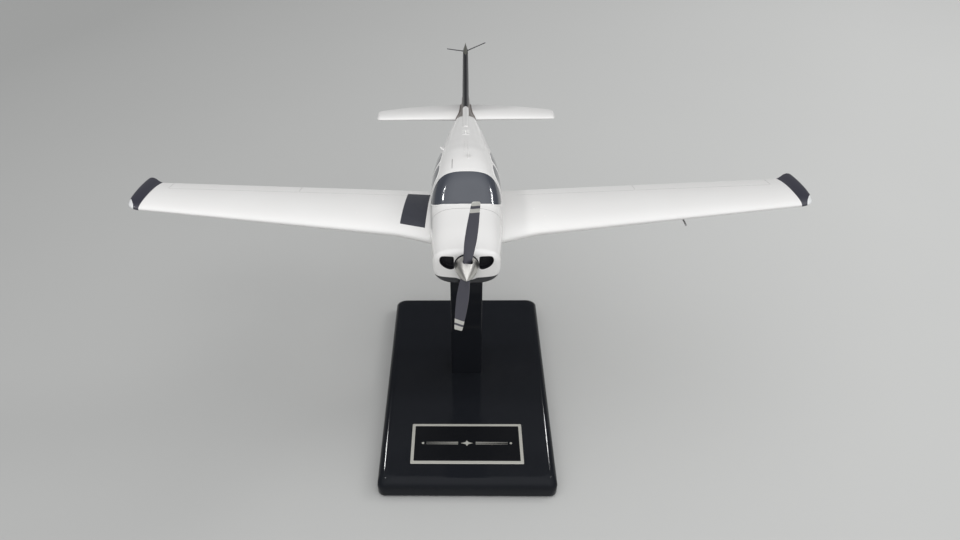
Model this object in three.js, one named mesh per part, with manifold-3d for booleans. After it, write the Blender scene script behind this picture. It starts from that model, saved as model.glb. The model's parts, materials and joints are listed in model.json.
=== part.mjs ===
// Desk display model of a single-engine, low-wing propeller plane on a black lacquered stand.
// Units are millimetres, +Z is up. The origin is on the table, under the middle of the stand.
// The nose points to -Y, so the plane's left wing is on the +X side.
import * as THREE from 'three';
import { mergeVertices } from 'three/addons/utils/BufferGeometryUtils.js';
import Module from 'manifold-3d';

const wasm = await Module();
wasm.setup();

// ---- Driving dimensions: stand ------------------------------------------------------------------
const PAD_THICKNESS = 1.5;
const PAD_INSET = 3;
const BASE_WIDTH = 128;
const BASE_DEPTH = 204;
const BASE_TOP = 16;
const BASE_CORNER = 5;
const BASE_ROUNDOVER = 7;
const NAMEPLATE_WIDTH = 82;
const NAMEPLATE_DEPTH = 36.5;
const NAMEPLATE_THICKNESS = 0.8;
const NAMEPLATE_Y = -67;
const POST_WIDTH = 24;
const POST_DEPTH = 14;
const POST_EDGE = 1.5;
const POST_Y = 12;
const SCREW_SPACING = 8;
const SCREW_SHANK_R = 1.75;
const SCREW_HEAD_R = 3.6;
const SCREW_LENGTH = 26;
const PIN_SPACING = 7;
const PIN_R = 1.5;
const PIN_IN_POST = 14;
const PIN_IN_PLANE = 10;

// ---- Driving dimensions: airplane, in its own axes (x to its left, y aft, z up) -----------------
const PLANE_PITCH = THREE.MathUtils.degToRad(4);
const WING_ROOT_Y = -20;
const WING_ROOT_Z = 165.75;
const NOSE_FACE = -54.6;
const NOSE_ROUNDING = 3.5;
const TAIL_END = 216;
const SHAFT_Z = 17.5;
const DIHEDRAL = THREE.MathUtils.degToRad(5.05);
const SWEEP = THREE.MathUtils.degToRad(2.9);
const ROOT_X = 25;
const ROOT_CHORD = 66;
const TIP_X = 216;
const TIP_CHORD = 40;
const ROOT_THICKNESS = 0.15;
const TIP_THICKNESS = 0.125;
const CAMBER = 0.02;
const WING_DOWEL = { r: 2, inner: 14, outer: 34, z: 3.4, front: 18, rear: 38 };
const TAILPLANE_Z = 19.7;
const TAILPLANE_LEADING = 163.6;
const TAILPLANE_HALF_SPAN = 74.5;
const TAIL_DOWEL = { r: 1.5, y: 178, reach: 24 };
const FIN_LEADING = 177;
const FIN_TOP = 71;
const FIN_DOWEL = { r: 1, bottom: 19.4, top: 32, front: 186, rear: 200 };
const FIN_CAP = { z: 66.4, y: 196 };
const PROP_RADIUS = 44.9;
const PROP_Y = -59.9;
const PROP_LEAN = THREE.MathUtils.degToRad(6.75);
const SPINNER_R = 7;
const SPINNER_BASE = -55.9;
const SPINNER_LENGTH = 15.8;
const SPINNER_WALL = 1;
const SPINNER_TIP_WALL = 2.4;
const BLADE_SLOT = { width: 6.6, depth: 5.4 };
const SHAFT_R = 1.5;
const SHAFT_END = -39;
const BUSH_R = 3.5;
const BUSH_END = -43;
const BACKPLATE = { r: 5.6, front: -56.6, rear: -55.4 };
const HUB = { r: 3.6, half: 3 };

// ---- Fits ---------------------------------------------------------------------------------------
const GAP = 0.3;
const RUNNING = 0.1;
const GLAZING_PROUD = 0.15;
const GLAZING_DEPTH = 0.8;

// ---- Materials ----------------------------------------------------------------------------------
const look = (color, roughness, metalness = 0) => ({ color, roughness, metalness });
const LOOKS = {
  lacquer: look(0x0b0b0d, 0.12),
  felt: look(0x16181a, 0.95),
  plate: look(0x17181b, 0.35),
  white: look(0xf2f1ee, 0.25),
  charcoal: look(0x2e3138, 0.35),
  glazing: look(0x353b47, 0.08),
  silver: look(0xc9c7c2, 0.28, 1),
  steel: look(0x9a9c9f, 0.4, 1),
  brass: look(0xb08d4a, 0.4, 1),
  wood: look(0xb98c5a, 0.7),
  walk: look(0x23262c, 0.85),
  dark: look(0x121317, 0.6),
  clear: look(0xdfe3e6, 0.1),
};

const root = new THREE.Group();
const airplane = new THREE.Group();
airplane.rotation.x = -PLANE_PITCH;
airplane.position.set(0, WING_ROOT_Y, WING_ROOT_Z);
root.add(airplane);
airplane.updateMatrix();
const toPlane = airplane.matrix.clone().invert();

function add(parent, name, geometry, material) {
  const mesh = new THREE.Mesh(geometry, new THREE.MeshStandardMaterial(LOOKS[material]));
  mesh.name = name;
  parent.add(mesh);
  return mesh;
}

// ---- Closed solids and their cuts ---------------------------------------------------------------
function positionsOnly(geometry) {
  const bare = geometry.clone();
  for (const name of Object.keys(bare.attributes)) {
    if (name !== 'position') bare.deleteAttribute(name);
  }
  return mergeVertices(bare, 1e-4);
}

function solid(geometry) {
  const bare = positionsOnly(geometry);
  const vertProperties = new Float32Array(bare.attributes.position.array);
  const triVerts = new Uint32Array(bare.index.array);
  return new wasm.Manifold(new wasm.Mesh({ numProp: 3, vertProperties, triVerts }));
}

function geometryOf(manifold) {
  const mesh = manifold.getMesh();
  const geometry = new THREE.BufferGeometry();
  geometry.setAttribute('position', new THREE.BufferAttribute(mesh.vertProperties, 3));
  geometry.setIndex(new THREE.BufferAttribute(mesh.triVerts, 1));
  geometry.computeVertexNormals();
  return geometry;
}

function cut(geometry, ...tools) {
  return geometryOf(tools.reduce((rest, tool) => rest.subtract(solid(tool)), solid(geometry)));
}

function join(geometry, ...others) {
  return geometryOf(others.reduce((sum, other) => sum.add(solid(other)), solid(geometry)));
}

function common(geometry, other) {
  return geometryOf(solid(geometry).intersect(solid(other)));
}

// ---- Shape helpers ------------------------------------------------------------------------------
// A smooth curve through [position, value] pairs that never overshoots them.
function profile(pairs) {
  const slopes = pairs.map((pair, i) => {
    if (i === 0 || i === pairs.length - 1) return 0;
    const before = (pair[1] - pairs[i - 1][1]) / (pair[0] - pairs[i - 1][0]);
    const after = (pairs[i + 1][1] - pair[1]) / (pairs[i + 1][0] - pair[0]);
    return before * after <= 0 ? 0 : (2 * before * after) / (before + after);
  });
  return (at) => {
    const s = THREE.MathUtils.clamp(at, pairs[0][0], pairs[pairs.length - 1][0]);
    const i = Math.min(pairs.length - 2, Math.max(0, pairs.findIndex((pair) => pair[0] > s) - 1));
    const last = s >= pairs[pairs.length - 1][0];
    const k = last ? pairs.length - 2 : i;
    const run = pairs[k + 1][0] - pairs[k][0];
    const t = (s - pairs[k][0]) / run;
    const t2 = t * t;
    const t3 = t2 * t;
    return (2 * t3 - 3 * t2 + 1) * pairs[k][1] + (t3 - 2 * t2 + t) * run * slopes[k]
      + (3 * t2 - 2 * t3) * pairs[k + 1][1] + (t3 - t2) * run * slopes[k + 1];
  };
}

// A closed skin over rings that all have the same number of points, with both ends capped.
function loft(rings) {
  const count = rings[0].length;
  const points = rings.flat();
  const faces = [];
  for (let r = 0; r < rings.length - 1; r += 1) {
    for (let i = 0; i < count; i += 1) {
      const a = r * count + i;
      const b = r * count + ((i + 1) % count);
      faces.push(a, b, b + count, a, b + count, a + count);
    }
  }
  const cap = (start, flip) => {
    const ring = points.slice(start, start + count);
    const middle = points.length;
    points.push(ring.reduce((sum, p) => sum.add(p), new THREE.Vector3()).divideScalar(count));
    for (let i = 0; i < count; i += 1) {
      const a = start + i;
      const b = start + ((i + 1) % count);
      faces.push(...(flip ? [b, a, middle] : [a, b, middle]));
    }
  };
  cap(0, true);
  cap((rings.length - 1) * count, false);
  const volume = faces.reduce((sum, _, k) => {
    if (k % 3) return sum;
    const [p, q, s] = [points[faces[k]], points[faces[k + 1]], points[faces[k + 2]]];
    return sum + p.dot(new THREE.Vector3().crossVectors(q, s));
  }, 0);
  const geometry = new THREE.BufferGeometry().setFromPoints(points);
  geometry.setIndex(volume < 0 ? faces.slice().reverse() : faces);
  return geometry;
}

function shapeOf(points) {
  return new THREE.Shape(points.map(([x, y]) => new THREE.Vector2(x, y)));
}

function extrudeUp(shape, z0, z1) {
  return new THREE.ExtrudeGeometry(shape, { depth: z1 - z0, bevelEnabled: false }).translate(0, 0, z0);
}

// The outline's first coordinate is x and its second is z; it runs aft from y0 to y1.
function extrudeAft(shape, y0, y1) {
  const geometry = new THREE.ExtrudeGeometry(shape, { depth: y1 - y0, bevelEnabled: false });
  return geometry.rotateX(Math.PI / 2).translate(0, y1, 0);
}

// The outline's first coordinate is y and its second is z; it runs across from x0 to x1.
function extrudeAcross(shape, x0, x1) {
  const geometry = new THREE.ExtrudeGeometry(shape, { depth: x1 - x0, bevelEnabled: false });
  const turn = new THREE.Matrix4().makeBasis(
    new THREE.Vector3(0, 1, 0), new THREE.Vector3(0, 0, 1), new THREE.Vector3(1, 0, 0));
  return geometry.applyMatrix4(turn).translate(x0, 0, 0);
}

function grown(points, by) {
  const cx = points.reduce((sum, p) => sum + p[0], 0) / points.length;
  const cy = points.reduce((sum, p) => sum + p[1], 0) / points.length;
  return points.map(([x, y]) => {
    const length = Math.hypot(x - cx, y - cy);
    return [x + ((x - cx) / length) * by, y + ((y - cy) / length) * by];
  });
}

function cylinderUp(radius, z0, z1, x = 0, y = 0, sides = 16) {
  const geometry = new THREE.CylinderGeometry(radius, radius, z1 - z0, sides);
  return geometry.rotateX(Math.PI / 2).translate(x, y, (z0 + z1) / 2);
}

function cylinderAft(radius, y0, y1, x = 0, z = 0, sides = 24) {
  return new THREE.CylinderGeometry(radius, radius, y1 - y0, sides).translate(x, (y0 + y1) / 2, z);
}

function cylinderAcross(radius, x0, x1, y, z, sides = 16) {
  const geometry = new THREE.CylinderGeometry(radius, radius, x1 - x0, sides);
  return geometry.rotateZ(Math.PI / 2).translate((x0 + x1) / 2, y, z);
}

function mirrored(geometry) {
  const twin = positionsOnly(geometry).applyMatrix4(new THREE.Matrix4().makeScale(-1, 1, 1));
  twin.setIndex(Array.from(twin.index.array).reverse());
  twin.computeVertexNormals();
  return twin;
}

// ---- Fuselage surface ---------------------------------------------------------------------------
const halfWidth = profile([[-51, 20.2], [-35, 21.4], [-12, 22.8], [12, 23.6], [40, 24.3], [60, 23.2],
  [80, 20.6], [100, 17.8], [120, 15.1], [137, 12], [150, 9.7], [161, 7.7], [172, 5.3], [187, 3.9],
  [210, 3.2], [TAIL_END, 2.9]]);
const widestZ = profile([[-51, 16], [-12, 14], [45, 12.5], [93, 14.5], [135, 17.5], [187, 20],
  [TAIL_END, 20.5]]);
const topZ = profile([[-51, 26.8], [-30, 29.4], [-5.7, 31.6], [-2, 34], [10, 42.6], [18, 45.2], [30, 46],
  [46, 45.4], [62, 43.2], [90, 38.9], [140, 31.3], [176, 26], [196, 24.4], [TAIL_END, 23.6]]);
const bottomZ = profile([[-51, 2.6], [-44, 0.2], [-34, -2.2], [-12, -4.8], [12, -6], [45, -6], [67, -5.2],
  [90, -2.3], [111, 1], [135, 5.2], [160, 9.8], [187, 14], [210, 17], [TAIL_END, 17.8]]);
const topPower = profile([[-51, 3.1], [-8, 3], [14, 2.75], [34, 2.6], [60, 2.4], [100, 2.15], [160, 2],
  [TAIL_END, 2]]);
const bottomPower = profile([[-51, 2.8], [0, 3], [60, 3], [100, 2.4], [160, 2.1], [TAIL_END, 2]]);

function fuselageRing(y, grow, inset = 0, sides = 28) {
  const reach = grow - inset;
  const half = halfWidth(y) + reach;
  const middle = widestZ(y);
  return Array.from({ length: sides }, (_, i) => {
    const turn = (i / sides) * 2 * Math.PI;
    const c = Math.cos(turn);
    const s = Math.sin(turn);
    const power = 2 / (s > 0 ? topPower(y) : bottomPower(y));
    const rise = s > 0 ? topZ(y) + reach - middle : middle - bottomZ(y) + reach;
    return new THREE.Vector3(
      half * Math.sign(c) * Math.abs(c) ** power, y, middle + rise * Math.sign(s) * Math.abs(s) ** power);
  });
}

// Height of the fuselage skin above a point in plan.
function skinZ(x, y) {
  const share = 1 - (Math.abs(x) / halfWidth(y)) ** topPower(y);
  return widestZ(y) + (topZ(y) - widestZ(y)) * share ** (1 / topPower(y));
}

const FUSELAGE_STATIONS = [-46, -38, -26, -14, -5.7, -2, 2, 6, 10, 14, 18, 24, 34, 46, 58, 70, 84, 100, 118,
  138, 160, 180, 198, 209, TAIL_END];

function fuselageBody(grow = 0) {
  const rings = [];
  for (let step = 0; step <= 4; step += 1) {
    const turn = (step / 4) * (Math.PI / 2);
    const y = NOSE_FACE + NOSE_ROUNDING * (1 - Math.cos(turn)) - (step === 0 ? grow : 0);
    rings.push(fuselageRing(y, grow, NOSE_ROUNDING * (1 - Math.sin(turn))));
  }
  for (const y of FUSELAGE_STATIONS) rings.push(fuselageRing(y, grow));
  const end = FUSELAGE_STATIONS[FUSELAGE_STATIONS.length - 1];
  rings.push(fuselageRing(end + 1 + grow, grow, 1.2));
  return loft(rings);
}

// ---- Glazing, with every outline seen from the side, as y and z ---------------------------------
const WINDSHIELD = [[-6.2, 31.8], [-5, 31.1], [-3.9, 30.6], [-3, 29.4], [1.6, 27.1], [6, 25.2], [12.2, 24.8],
  [12.8, 31], [13.6, 35], [14.4, 38], [14.8, 41.4], [14.2, 44.6], [13.6, 56], [-6.2, 56]];
const FRONT_WINDOW = [[19.2, 26.8], [28, 26.2], [35.6, 26.4], [36, 38.2], [34.6, 39], [28, 38.9],
  [22.4, 37.8], [19.6, 35]];
const REAR_WINDOW = [[40, 26.4], [52, 26.6], [65, 27.8], [67.6, 29.8], [65.6, 33.4], [61, 36.4], [52, 38.3],
  [41.4, 38.9], [39.8, 38]];

function glazing(prism) {
  const shell = solid(fuselageBody(GLAZING_PROUD)).subtract(solid(fuselageBody(-GLAZING_DEPTH)));
  return geometryOf(shell.intersect(solid(prism)));
}

function glazingRecess(prism) {
  return geometryOf(solid(prism).subtract(solid(fuselageBody(-GLAZING_DEPTH - GAP))));
}

const PRISM = { inner: 8, outer: 40 };
const windshieldPrism = (by) => extrudeAcross(shapeOf(grown(WINDSHIELD, by)), -PRISM.outer, PRISM.outer);

function sidePrism(points, side, by) {
  const [x0, x1] = side > 0 ? [PRISM.inner, PRISM.outer] : [-PRISM.outer, -PRISM.inner];
  return extrudeAcross(shapeOf(grown(points, by)), x0, x1);
}

// ---- Air inlets ---------------------------------------------------------------------------------
const INLET = [[7.9, 14.5], [9.8, 14.3], [12.6, 15.4], [15, 17.6], [16, 20.4], [15.4, 22.5], [13.9, 23.2],
  [8.1, 23.1], [7.6, 22.4], [7.5, 15.2]];
const INLET_DEPTH = 5;
const INLET_INSERT = 1.6;

function inletTool(side, by, y0, y1) {
  const points = grown(INLET, by).map(([x, z]) => [x * side, z]);
  return extrudeAft(shapeOf(points), y0, y1);
}

// ---- Airfoil surfaces ---------------------------------------------------------------------------
const FOIL_STEPS = 9;

function foilThickness(s) {
  return 5 * (0.2969 * Math.sqrt(s) - 0.126 * s - 0.3516 * s ** 2 + 0.2843 * s ** 3 - 0.1015 * s ** 4);
}

// Points round an airfoil, as [share of chord, height over chord], from tail over the top and back.
function foil(thickness, camber, steps = FOIL_STEPS) {
  const side = (sign) => Array.from({ length: steps + 1 }, (_, i) => {
    const s = (1 - Math.cos((i / steps) * Math.PI)) / 2;
    const arch = camber * 4 * s * (1 - s);
    return [s, arch + sign * (thickness * foilThickness(s) + 0.002)];
  });
  return [...side(1).reverse(), ...side(-1).slice(1)];
}

function foilRing(leading, chord, thickness, camber, place) {
  return foil(thickness, camber).map(([s, t]) => place(leading + s * chord, t * chord));
}

// ---- Wing ---------------------------------------------------------------------------------------
// The leading edge runs forward near the root, in a short glove.
const GLOVE = { reach: 5.6, outer: 48, span: 26 };
const wingLeading = (x) => x * Math.tan(SWEEP)
  - GLOVE.reach * Math.max(0, (GLOVE.outer - x) / GLOVE.span) ** 1.25;
const wingTrailing = (x) => {
  const root = ROOT_X * Math.tan(SWEEP) + ROOT_CHORD;
  const tip = TIP_X * Math.tan(SWEEP) + TIP_CHORD;
  return THREE.MathUtils.mapLinear(x, ROOT_X, TIP_X, root, tip);
};
const wingThickness = (x) => THREE.MathUtils.mapLinear(x, ROOT_X, TIP_X, ROOT_THICKNESS, TIP_THICKNESS);
// Wing tip stations: x, leading edge, trailing edge, thickness in mm.
const TIP_STATIONS = [[220, 11.2, 53.2, 5.1], [223.6, 12, 56.6, 4.7], [226.2, 13.8, 57.8, 4.2],
  [227.6, 16, 57.4, 3.6], [228.6, 19, 55, 2.9], [229.2, 23, 50, 2.1], [229.6, 27, 44, 1.2]];

function wingBody() {
  const rings = [12, 22, 28, 35, 42, GLOVE.outer, 130, TIP_X].map((x) => foilRing(
    wingLeading(x), wingTrailing(x) - wingLeading(x), wingThickness(x), CAMBER,
    (y, z) => new THREE.Vector3(x, y, z + x * Math.tan(DIHEDRAL))));
  for (const [x, leading, trailing, thickness] of TIP_STATIONS) {
    const chord = trailing - leading;
    rings.push(foilRing(leading, chord, thickness / chord, CAMBER * 0.6,
      (y, z) => new THREE.Vector3(x, y, z + x * Math.tan(DIHEDRAL))));
  }
  return loft(rings);
}

// Height of the wing's upper skin over a point in plan.
function wingTop(x, y) {
  const chord = wingTrailing(x) - wingLeading(x);
  const s = (y - wingLeading(x)) / chord;
  const rise = CAMBER * 4 * s * (1 - s) + wingThickness(x) * foilThickness(s) + 0.002;
  return rise * chord + x * Math.tan(DIHEDRAL);
}

// The walk's front and rear edges, each from its inboard corner to its outboard one, as x and y.
const WALK = { front: [[27.5, 5.5], [44.4, 9.6]], rear: [[25.8, 57.2], [42.1, 56.7]] };
const WALK_THICKNESS = 0.45;
const WALK_PROUD = 0.15;

// A slab that follows the wing's upper skin between two heights above it.
function skinSlab(by, below, above) {
  const [along, across] = [10, 4];
  const widened = (edge, aft) => edge.map(([x, y], i) => (
    new THREE.Vector2(x + (i === 0 ? -by : by), y + aft)));
  const [front, rear] = [widened(WALK.front, -by), widened(WALK.rear, by)];
  const ring = (t) => {
    const [inner, outer] = [0, 1].map((i) => front[i].clone().lerp(rear[i], t));
    const row = Array.from({ length: across + 1 }, (_, i) => inner.clone().lerp(outer, i / across));
    const lifted = (height) => row.map(({ x, y }) => new THREE.Vector3(x, y, wingTop(x, y) + height));
    return [...lifted(above), ...lifted(-below).reverse()];
  };
  return loft(Array.from({ length: along + 1 }, (_, i) => ring(i / along)));
}

const LENS = [[222.4, 8], [223.3, 14], [225.6, 18.2], [228, 22.4], [236, 25], [236, 8]];
const wingDowelY = [WING_DOWEL.front, WING_DOWEL.rear];

function wingDowel(y, clearance) {
  return cylinderAcross(WING_DOWEL.r + clearance, WING_DOWEL.inner - clearance, WING_DOWEL.outer + clearance,
    y, WING_DOWEL.z);
}

function wing(pocketForWalk) {
  const tools = [fuselageBody(GAP), extrudeUp(shapeOf(grown(LENS, GAP)), 0, 40),
    ...wingDowelY.map((y) => wingDowel(y, RUNNING))];
  tools.push(pocketForWalk ? skinSlab(GAP, WALK_THICKNESS - WALK_PROUD + GAP, 3) : pitot(RUNNING));
  return cut(wingBody(), ...tools);
}

// ---- Tail ---------------------------------------------------------------------------------------
// Tailplane stations: x, leading edge, trailing edge, thickness in mm.
const TAILPLANE_STATIONS = [[2, 162.6, 197.6, 4.6], [18, 163.4, 196.4, 4.4],
  [47, TAILPLANE_LEADING, 191.6, 3.6], [58, TAILPLANE_LEADING, 188.6, 3.2],
  [68, TAILPLANE_LEADING, 185.4, 2.8], [72, 163.9, 183.8, 2.6], [73.6, 164.8, 182.8, 1.9],
  [TAILPLANE_HALF_SPAN, 166.6, 181, 1]];

function tailplaneBody() {
  return loft(TAILPLANE_STATIONS.map(([x, leading, trailing, thickness]) => foilRing(
    leading, trailing - leading, thickness / (trailing - leading), 0,
    (y, z) => new THREE.Vector3(x, y, z + TAILPLANE_Z))));
}

// Fin stations: z, leading edge, trailing edge, thickness in mm.
const FIN_STATIONS = [[15.5, FIN_LEADING - 1, 232, 4.6], [22, FIN_LEADING - 0.8, 236, 5.2],
  [30, FIN_LEADING - 0.4, 232, 5.2], [48, FIN_LEADING, 221.5, 4.8], [66, FIN_LEADING + 0.2, 211, 4.2],
  [69.4, FIN_LEADING + 0.8, 209, 3.7], [FIN_TOP, FIN_LEADING + 3, 207, 2.6]];

function finBody() {
  return loft(FIN_STATIONS.map(([z, leading, trailing, thickness]) => foilRing(
    leading, trailing - leading, thickness / (trailing - leading), 0,
    (y, x) => new THREE.Vector3(x, y, z))));
}

function finDowel(y, clearance) {
  return cylinderUp(FIN_DOWEL.r + clearance, FIN_DOWEL.bottom - clearance, FIN_DOWEL.top + clearance, 0, y);
}

// A box round the pale cap that ends the fin at its top rear corner.
function finCapTool(by) {
  const size = { x: 12, y: 30, z: 20 };
  return new THREE.BoxGeometry(size.x, size.y, size.z)
    .translate(0, FIN_CAP.y + size.y / 2 - by, FIN_CAP.z + size.z / 2 - by);
}

// The left whisker rises to its tip and the right one lies level.
const WHISKER = { r: 0.4, root: 0.7, y: 190.5, z: 68.6, rearward: 1.5 };
const WHISKER_TIPS = { left: [16.6, 75.2], right: [-15.4, 70.4] };

function whisker(side, clearance) {
  const [x, z] = side > 0 ? WHISKER_TIPS.left : WHISKER_TIPS.right;
  const start = new THREE.Vector3(side * (WHISKER.root - clearance), WHISKER.y, WHISKER.z);
  const path = new THREE.LineCurve3(start, new THREE.Vector3(x, WHISKER.y + WHISKER.rearward, z));
  const section = new THREE.Shape().absarc(0, 0, WHISKER.r + clearance, 0, 2 * Math.PI);
  return new THREE.ExtrudeGeometry(section, {
    steps: 4, curveSegments: 4, bevelEnabled: false, extrudePath: path });
}

// ---- Small blade antennas, each set in a slot of the fuselage skin ------------------------------
const ANTENNA_THICKNESS = 0.8;
const ANTENNA_ROOT = 1.2;
const ANTENNAS = {
  roof_antenna: { length: 6, height: 3.2, x: 1.6, y: 34, lean: 0 },
  spine_antenna: { length: 4, height: 1.8, x: 0, y: 90, lean: 0 },
  shoulder_antenna: { length: 4.4, height: 3.2, x: -16, y: 68, lean: -58 },
};

function antenna(name, by) {
  const { length, height, x, y, lean } = ANTENNAS[name];
  const half = ANTENNA_THICKNESS / 2 + by;
  const outline = [[-length / 2, -ANTENNA_ROOT], [length / 2, -ANTENNA_ROOT], [length / 2, 0],
    [length * 0.4, height], [length * 0.1, height], [-length / 2, 0]];
  const plate = extrudeAcross(shapeOf(grown(outline, by)), -half, half);
  return plate.rotateY(THREE.MathUtils.degToRad(lean)).translate(x, y, skinZ(x, y));
}

// ---- Pitot tube under the left wing -------------------------------------------------------------
const PITOT = { x: 144.5, r: 0.6, front: 5, rear: 15, drop: 2.6 };
const PITOT_MAST = { y: 14, width: 1, chord: 3.4, buried: 1.4 };

function pitot(by) {
  const skin = PITOT.x * Math.tan(DIHEDRAL) - 1.6;
  const mast = new THREE.BoxGeometry(PITOT_MAST.width + 2 * by, PITOT_MAST.chord + 2 * by,
    PITOT.drop + PITOT_MAST.buried);
  mast.translate(PITOT.x, PITOT_MAST.y, skin + (PITOT_MAST.buried - PITOT.drop) / 2 + by);
  return join(mast, cylinderAft(PITOT.r, PITOT.front, PITOT.rear, PITOT.x, skin - PITOT.drop, 12));
}

// ---- Propeller ----------------------------------------------------------------------------------
const BLADE_PITCH = { root: 34, tip: 14 };
const bladePitch = (r) => THREE.MathUtils.degToRad(
  THREE.MathUtils.mapLinear(r, SPINNER_R - 2, PROP_RADIUS, BLADE_PITCH.root, BLADE_PITCH.tip));
const BLADE_CAMBER = 0.04;
const BLADE_FOIL_STEPS = 6;
// Blade stations: radius, chord, thickness.
const BLADE_STATIONS = [[2, 5.6, 2.6], [6, 6.1, 2.4], [12, 7.2, 2], [20, 8, 1.7], [28, 7.5, 1.45],
  [36, 6.4, 1.2], [42, 5.5, 1.05], [44.2, 5, 0.95], [PROP_RADIUS, 4.2, 0.8]];

function blade() {
  return loft(BLADE_STATIONS.map(([r, chord, thickness]) => {
    const turn = bladePitch(r);
    return foil(thickness / chord, BLADE_CAMBER, BLADE_FOIL_STEPS).map(([s, t]) => {
      const along = (s - 0.5) * chord;
      const across = t * chord;
      const x = along * Math.cos(turn) - across * Math.sin(turn);
      const y = along * Math.sin(turn) + across * Math.cos(turn);
      return new THREE.Vector3(x, y, r);
    });
  }));
}

function propeller() {
  const hub = cylinderAft(HUB.r, -HUB.half, HUB.half);
  const upper = blade();
  const lower = blade().rotateY(Math.PI);
  return cut(join(hub, upper, lower), cylinderAft(SHAFT_R + RUNNING, -10, 10));
}

// Radius of the spinner at a distance forward of its rim.
const spinnerRadius = (s) => SPINNER_R * (1 - (s / SPINNER_LENGTH) ** 1.7);

function spinner() {
  const steps = 6;
  const outer = Array.from({ length: steps + 1 }, (_, i) => {
    const s = SPINNER_LENGTH * (i / steps) ** 0.8;
    return [Math.max(spinnerRadius(s), 0), -s];
  });
  const inner = Array.from({ length: steps }, (_, i) => {
    const s = (SPINNER_LENGTH - SPINNER_TIP_WALL) * (1 - i / (steps - 1));
    return [i === 0 ? 0 : Math.max(spinnerRadius(s) - SPINNER_WALL, 0.2), -s];
  });
  const points = [...outer, ...inner, outer[0]].reverse().map(([r, y]) => new THREE.Vector2(r, y));
  const shell = new THREE.LatheGeometry(points, 24);
  const slot = new THREE.BoxGeometry(BLADE_SLOT.width, BLADE_SLOT.depth, 4 * SPINNER_R);
  return cut(shell, slot.translate(0, PROP_Y - SPINNER_BASE, 0));
}

const propellerFrame = new THREE.Group();
propellerFrame.position.set(0, PROP_Y, SHAFT_Z);
propellerFrame.rotation.y = PROP_LEAN;
airplane.add(propellerFrame);
const fromProp = -PROP_Y;

// ---- Stand --------------------------------------------------------------------------------------
function roundedRectRing(width, depth, corner, z) {
  const ring = [];
  const radius = Math.max(corner, 0.6);
  const centres = [[1, 1, 0], [-1, 1, 90], [-1, -1, 180], [1, -1, 270]];
  for (const [sx, sy, start] of centres) {
    for (let step = 0; step <= 4; step += 1) {
      const turn = THREE.MathUtils.degToRad(start + step * 22.5);
      ring.push(new THREE.Vector3(sx * (width / 2 - radius) + radius * Math.cos(turn),
        sy * (depth / 2 - radius) + radius * Math.sin(turn), z));
    }
  }
  return ring;
}

function baseBody() {
  const rings = [roundedRectRing(BASE_WIDTH - 1.2, BASE_DEPTH - 1.2, BASE_CORNER - 0.6, PAD_THICKNESS),
    roundedRectRing(BASE_WIDTH, BASE_DEPTH, BASE_CORNER, PAD_THICKNESS + 0.8)];
  const steps = 4;
  for (let step = 0; step <= steps; step += 1) {
    const turn = (step / steps) * (Math.PI / 2);
    const inset = BASE_ROUNDOVER * (1 - Math.cos(turn));
    rings.push(roundedRectRing(BASE_WIDTH - 2 * inset, BASE_DEPTH - 2 * inset, BASE_CORNER - inset,
      BASE_TOP - BASE_ROUNDOVER * (1 - Math.sin(turn))));
  }
  return loft(rings);
}

function screw(y, clearance) {
  const head = PAD_THICKNESS + 1 - clearance;
  const [headR, shankR] = [SCREW_HEAD_R + clearance, SCREW_SHANK_R + clearance];
  const outline = [[0, head], [headR, head], [headR, head + 0.6 + clearance], [shankR, head + 3 + clearance],
    [shankR, head + SCREW_LENGTH - 2], [0, head + SCREW_LENGTH + clearance]];
  const geometry = new THREE.LatheGeometry(outline.map(([r, z]) => new THREE.Vector2(r, z)), 20);
  return geometry.rotateX(Math.PI / 2).translate(0, y, 0);
}

function screwTunnel(y) {
  return join(screw(y, RUNNING), cylinderUp(SCREW_HEAD_R + RUNNING, 0, PAD_THICKNESS + 1.4, 0, y, 20));
}

const screwY = { front: POST_Y - SCREW_SPACING / 2, rear: POST_Y + SCREW_SPACING / 2 };
const pinY = { front: POST_Y - PIN_SPACING / 2, rear: POST_Y + PIN_SPACING / 2 };
const bellyHeight = (y) => new THREE.Vector3(0, y - WING_ROOT_Y, bottomZ(y - WING_ROOT_Y))
  .applyMatrix4(airplane.matrix).z;
const pinSpan = (y) => [bellyHeight(y) - PIN_IN_POST, bellyHeight(y) + PIN_IN_PLANE];

function pin(y, clearance) {
  const [low, high] = pinSpan(y);
  return cylinderUp(PIN_R + clearance, low - clearance, high + clearance, 0, y);
}

function post() {
  const blank = loft([BASE_TOP, WING_ROOT_Z + 5].map((z) => roundedRectRing(
    POST_WIDTH, POST_DEPTH, POST_EDGE, z))).translate(0, POST_Y, 0);
  return cut(blank, fuselageBody(GAP).applyMatrix4(airplane.matrix), screwTunnel(screwY.front),
    screwTunnel(screwY.rear), pin(pinY.front, RUNNING), pin(pinY.rear, RUNNING));
}

add(root, 'felt_pad', loft([0, PAD_THICKNESS].map((z) => roundedRectRing(
  BASE_WIDTH - 2 * PAD_INSET, BASE_DEPTH - 2 * PAD_INSET, BASE_CORNER, z))), 'felt');
add(root, 'base', cut(baseBody(), screwTunnel(screwY.front), screwTunnel(screwY.rear)), 'lacquer');
add(root, 'nameplate', loft([BASE_TOP, BASE_TOP + NAMEPLATE_THICKNESS].map((z) => roundedRectRing(
  NAMEPLATE_WIDTH, NAMEPLATE_DEPTH, 0.8, z))).translate(0, NAMEPLATE_Y, 0), 'plate');
add(root, 'post', post(), 'lacquer');
for (const place of ['front', 'rear']) {
  add(root, `post_screw_${place}`, screw(screwY[place], 0), 'steel');
  add(root, `mounting_pin_${place}`, pin(pinY[place], 0), 'steel');
}

// ---- Airplane body ------------------------------------------------------------------------------
const SIDES = { left: 1, right: -1 };

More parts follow.
